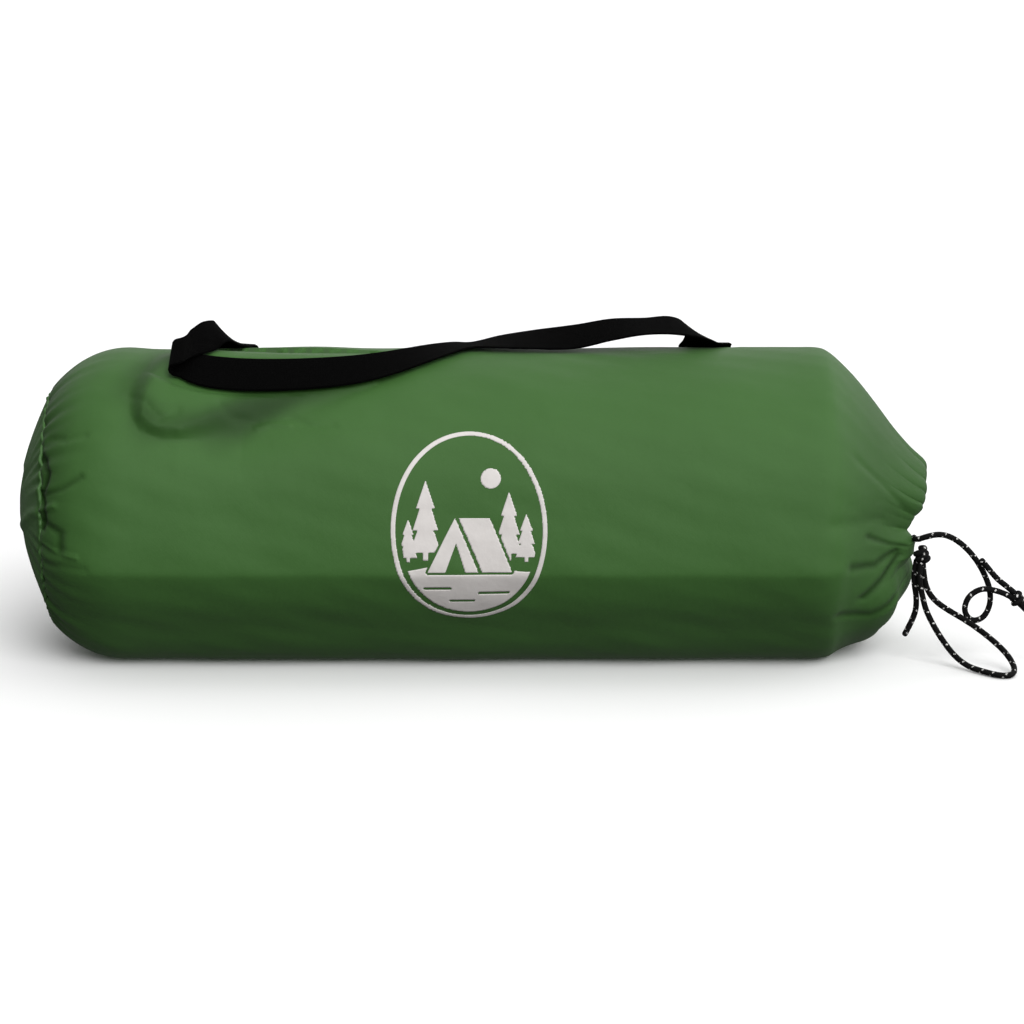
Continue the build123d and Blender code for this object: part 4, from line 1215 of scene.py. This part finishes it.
# %% Sleeves for the poles and the pegs
def sleeve(name, cad_name, body, x0, x1, radius, neck_r, neck_length, centre_z, ridges):
    """A cloth tube round a bundle: its side shows the bars as soft ridges, its left end is sewn shut, and
    its right end is drawn in to a neck with pleats and flares out beyond the tie."""
    neck_x = x1 - neck_length
    outline = np.array([
        (x0 + 1.5, 0.0), (x0 + 0.5, radius * 0.55), (x0 + 1.0, radius * 0.9),
        (x0 + 4.0, radius), (x0 + 30, radius), (neck_x - 4, radius),
        (neck_x + neck_length * 0.3, radius * 0.78), (x1 - neck_length * 0.45, neck_r * 1.1),
        (x1 - neck_length / 3, neck_r * 0.95), (x1 - neck_length * 0.2, neck_r * 1.15),
        (x1 - 0.5, neck_r * 1.45),
        (x1 - 1.2, neck_r * 1.2), (x1 - neck_length * 0.25, neck_r * 0.6), (x1 - neck_length * 0.3, 0.0),
    ])
    along = arc_lengths(outline)
    at = np.concatenate([np.linspace(0, along[4], 50), np.linspace(along[4], along[5], 90)[1:],
                         np.linspace(along[5], along[-1], 90)[1:]])
    rows_x, rows_r = np.interp(at, along, outline[:, 0]), np.interp(at, along, outline[:, 1])
    angles = np.linspace(-np.pi, np.pi, 160, endpoint=False)
    angle = angles[None, :] + 0 * rows_x[:, None]
    x, r = rows_x[:, None] + 0 * angle, rows_r[:, None] + 0 * angle
    side = smoothstep(x0, x0 + 14, x) * (1 - smoothstep(neck_x - 10, neck_x + 6, x))
    drawn = smoothstep(neck_x - 14, x1 - neck_length / 3, x) * np.clip(r / neck_r, 0, 1)
    bars = 0.5 * np.cos(ridges * angle + 0.4 * np.sin(x / 60)) + 0.5 * waves(angle, x, (3, 5), 0.04, 97)
    r = r + side * (0.6 * bars - 0.9) + 1.0 * pleats(angle, 13, 101) * drawn - 0.8 * drawn
    points = np.stack([x, -r * np.sin(angle), centre_z + r * np.cos(angle)], -1) * MM
    around = np.linspace(-np.pi, np.pi, 161) * radius * MM
    made = grid_object(name, points, at * MM, around, closed=True)
    made.data.materials.append(sleeve_cloth)
    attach(made, body)
    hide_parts(cad_name)


sleeve(
    "pole_sleeve_cloth", "pole_bag", "pole_bundle", -266.0, 296.0, 27.0, 8.0, 30.0,
    POLE_Z, 12,
)
sleeve("peg_sleeve_cloth", "peg_bag", "peg_kit", 48.0, 272.0, 19.0, 6.0, 24.0, PEG_Z, 10)


# %% Ties round the sleeves' necks
def neck_tie(name, cad_name, body, x, neck_r, centre_z):
    """Two turns of thin cord drawn tight round the neck."""
    t = np.linspace(0.0, 1.0, 200)
    turn = 4 * np.pi * t
    radius = neck_r + 0.9
    line = np.stack([x - 1.3 + 2.6 * t, -radius * np.sin(turn), centre_z + radius * np.cos(turn)], -1)
    made = braided_tube(name, line * MM, 2.4 * MM, sides=16)
    made.data.materials.append(tie_finish)
    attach(made, body)
    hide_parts(cad_name)


def plain_finish(name, hex_colour, hex_dark, roughness, scale, depth, metallic=0.0):
    """A finish with a fine grain: noise of that scale mixes two tones and lifts the surface a little."""
    material, tree, shader = new_material(name)
    place = node(tree, "ShaderNodeTexCoord").outputs["Object"]
    grain = node(tree, "ShaderNodeTexNoise", inputs={"Vector": place, "Scale": scale, "Detail": 3.0})
    colour = mixed(tree, grain.outputs[0], linear(hex_dark), linear(hex_colour))
    tree.links.new(colour, shader.inputs["Base Color"])
    shader.inputs["Roughness"].default_value = roughness
    shader.inputs["Metallic"].default_value = metallic
    finish_surface(tree, shader, grain.outputs[0], depth)
    return material


tie_finish = plain_finish("twisted polyester cord, white", "#D8D8D2", "#B8B8B0", 0.8, 900.0, 0.0002)
neck_tie("pole_sleeve_tie", "pole_bag_tie", "pole_bundle", 286.0, 8.0, POLE_Z)
neck_tie("peg_sleeve_tie", "peg_bag_tie", "peg_kit", 264.0, 6.0, PEG_Z)

# %% [markdown]
# ## Finishes for the pieces kept from the imported model
# The pole sections, ferrules, tips, shock cord, pegs and bar tacks have the right shape already. They get
# finishes: pultruded fibreglass is dark with a fine grain, the ferrules are bright zinc on steel, the pegs
# dull zinc, the elastic is woven, and the tacks are black thread.

# %% Finishes for the kept pieces
fibreglass = plain_finish("pultruded fibreglass, black", "#26282A", "#191A1C", 0.38, 240.0, 0.0001)
ferrule_steel = plain_finish(
    "zinc plated steel tube", "#C9CBCC", "#A9ABAD", 0.28, 300.0, 0.00005, metallic=1.0
)
peg_steel = plain_finish("galvanised steel rod", "#B4B7B9", "#8E9194", 0.42, 160.0, 0.0001, metallic=1.0)
elastic = plain_finish("braided elastic, white", "#DADAD4", "#A9A9A4", 0.8, 700.0, 0.0002)
tack_thread = plain_finish("polyester thread, black", "#141415", "#060606", 0.6, 1500.0, 0.0003)
KEPT = {
    "pole_sections": fibreglass, "pole_ferrules": ferrule_steel, "pole_end_tips": ferrule_steel,
    "shock_cord": elastic, "pegs": peg_steel, "strap_bar_tacks": tack_thread,
}
for cad_name, finish in KEPT.items():
    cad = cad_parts[cad_name]
    cad.data.materials.clear()
    cad.data.materials.append(finish)
print("kept from the packed model:", ", ".join(KEPT))

# %% [markdown]
# ## Floor and light
# A plain pale floor under a white sky, and one wide soft light from the front and a little from the
# right. The sky is dimmer at the left, where the bag's end is in shade. The floor is kept from lighting
# the bag from below, as a floor so much brighter than the bag would, so that the side turns dark where
# it turns under. The sky is dark below the horizon for the same reason.

# %% Floor and light
FLOOR_REACH = 9.0          # metres each way
corners = [(-1, -1, 0), (1, -1, 0), (1, 1, 0), (-1, 1, 0)]
floor_mesh = add_mesh("floor", np.array(corners, float) * FLOOR_REACH, np.array([[0, 1, 2, 3]]))
floor_finish, _, floor_shader = new_material("matt white floor")
floor_shader.inputs["Base Color"].default_value = linear("#FAFAFA")
floor_shader.inputs["Roughness"].default_value = 0.9
floor_shader.inputs["Specular IOR Level"].default_value = 0.0
floor_mesh.data.materials.append(floor_finish)
floor_mesh.visible_diffuse = False
floor_mesh.visible_glossy = False


def distant_light(name, towards, strength, degrees):
    """A light so far away that it is even over the floor; its soft edge comes from its width."""
    data = bpy.data.lights.new(name, "SUN")
    data.energy, data.angle = strength, math.radians(degrees)
    light = bpy.data.objects.new(name, data)
    light.rotation_euler = Vector(towards).to_track_quat("-Z", "Y").to_euler()
    light.location = (1.0, -2.0, 2.0)
    bpy.context.scene.collection.objects.link(light)


distant_light("front_right_softbox", (-0.27, 0.72, -0.63), 1.92, 38.0)
world = bpy.data.worlds.new("world")
bpy.context.scene.world = world
world.use_nodes = True
sky = world.node_tree
way = node(sky, "ShaderNodeTexCoord").outputs["Generated"]
direction = node(sky, "ShaderNodeSeparateXYZ", inputs={0: way})
above = node(
    sky, "ShaderNodeMapRange", {"interpolation_type": "SMOOTHSTEP"},
    {"Value": direction.outputs["Z"], "From Min": -0.05, "From Max": 0.05, "To Min": 0.16, "To Max": 1.0},
)
from_left = maths(sky, "MULTIPLY_ADD", direction.outputs["X"], 0.62, 0.84)
level = maths(sky, "MULTIPLY", above.outputs[0], from_left)
sky.links.new(level, sky.nodes["Background"].inputs["Color"])
sky.nodes["Background"].inputs["Strength"].default_value = 0.98
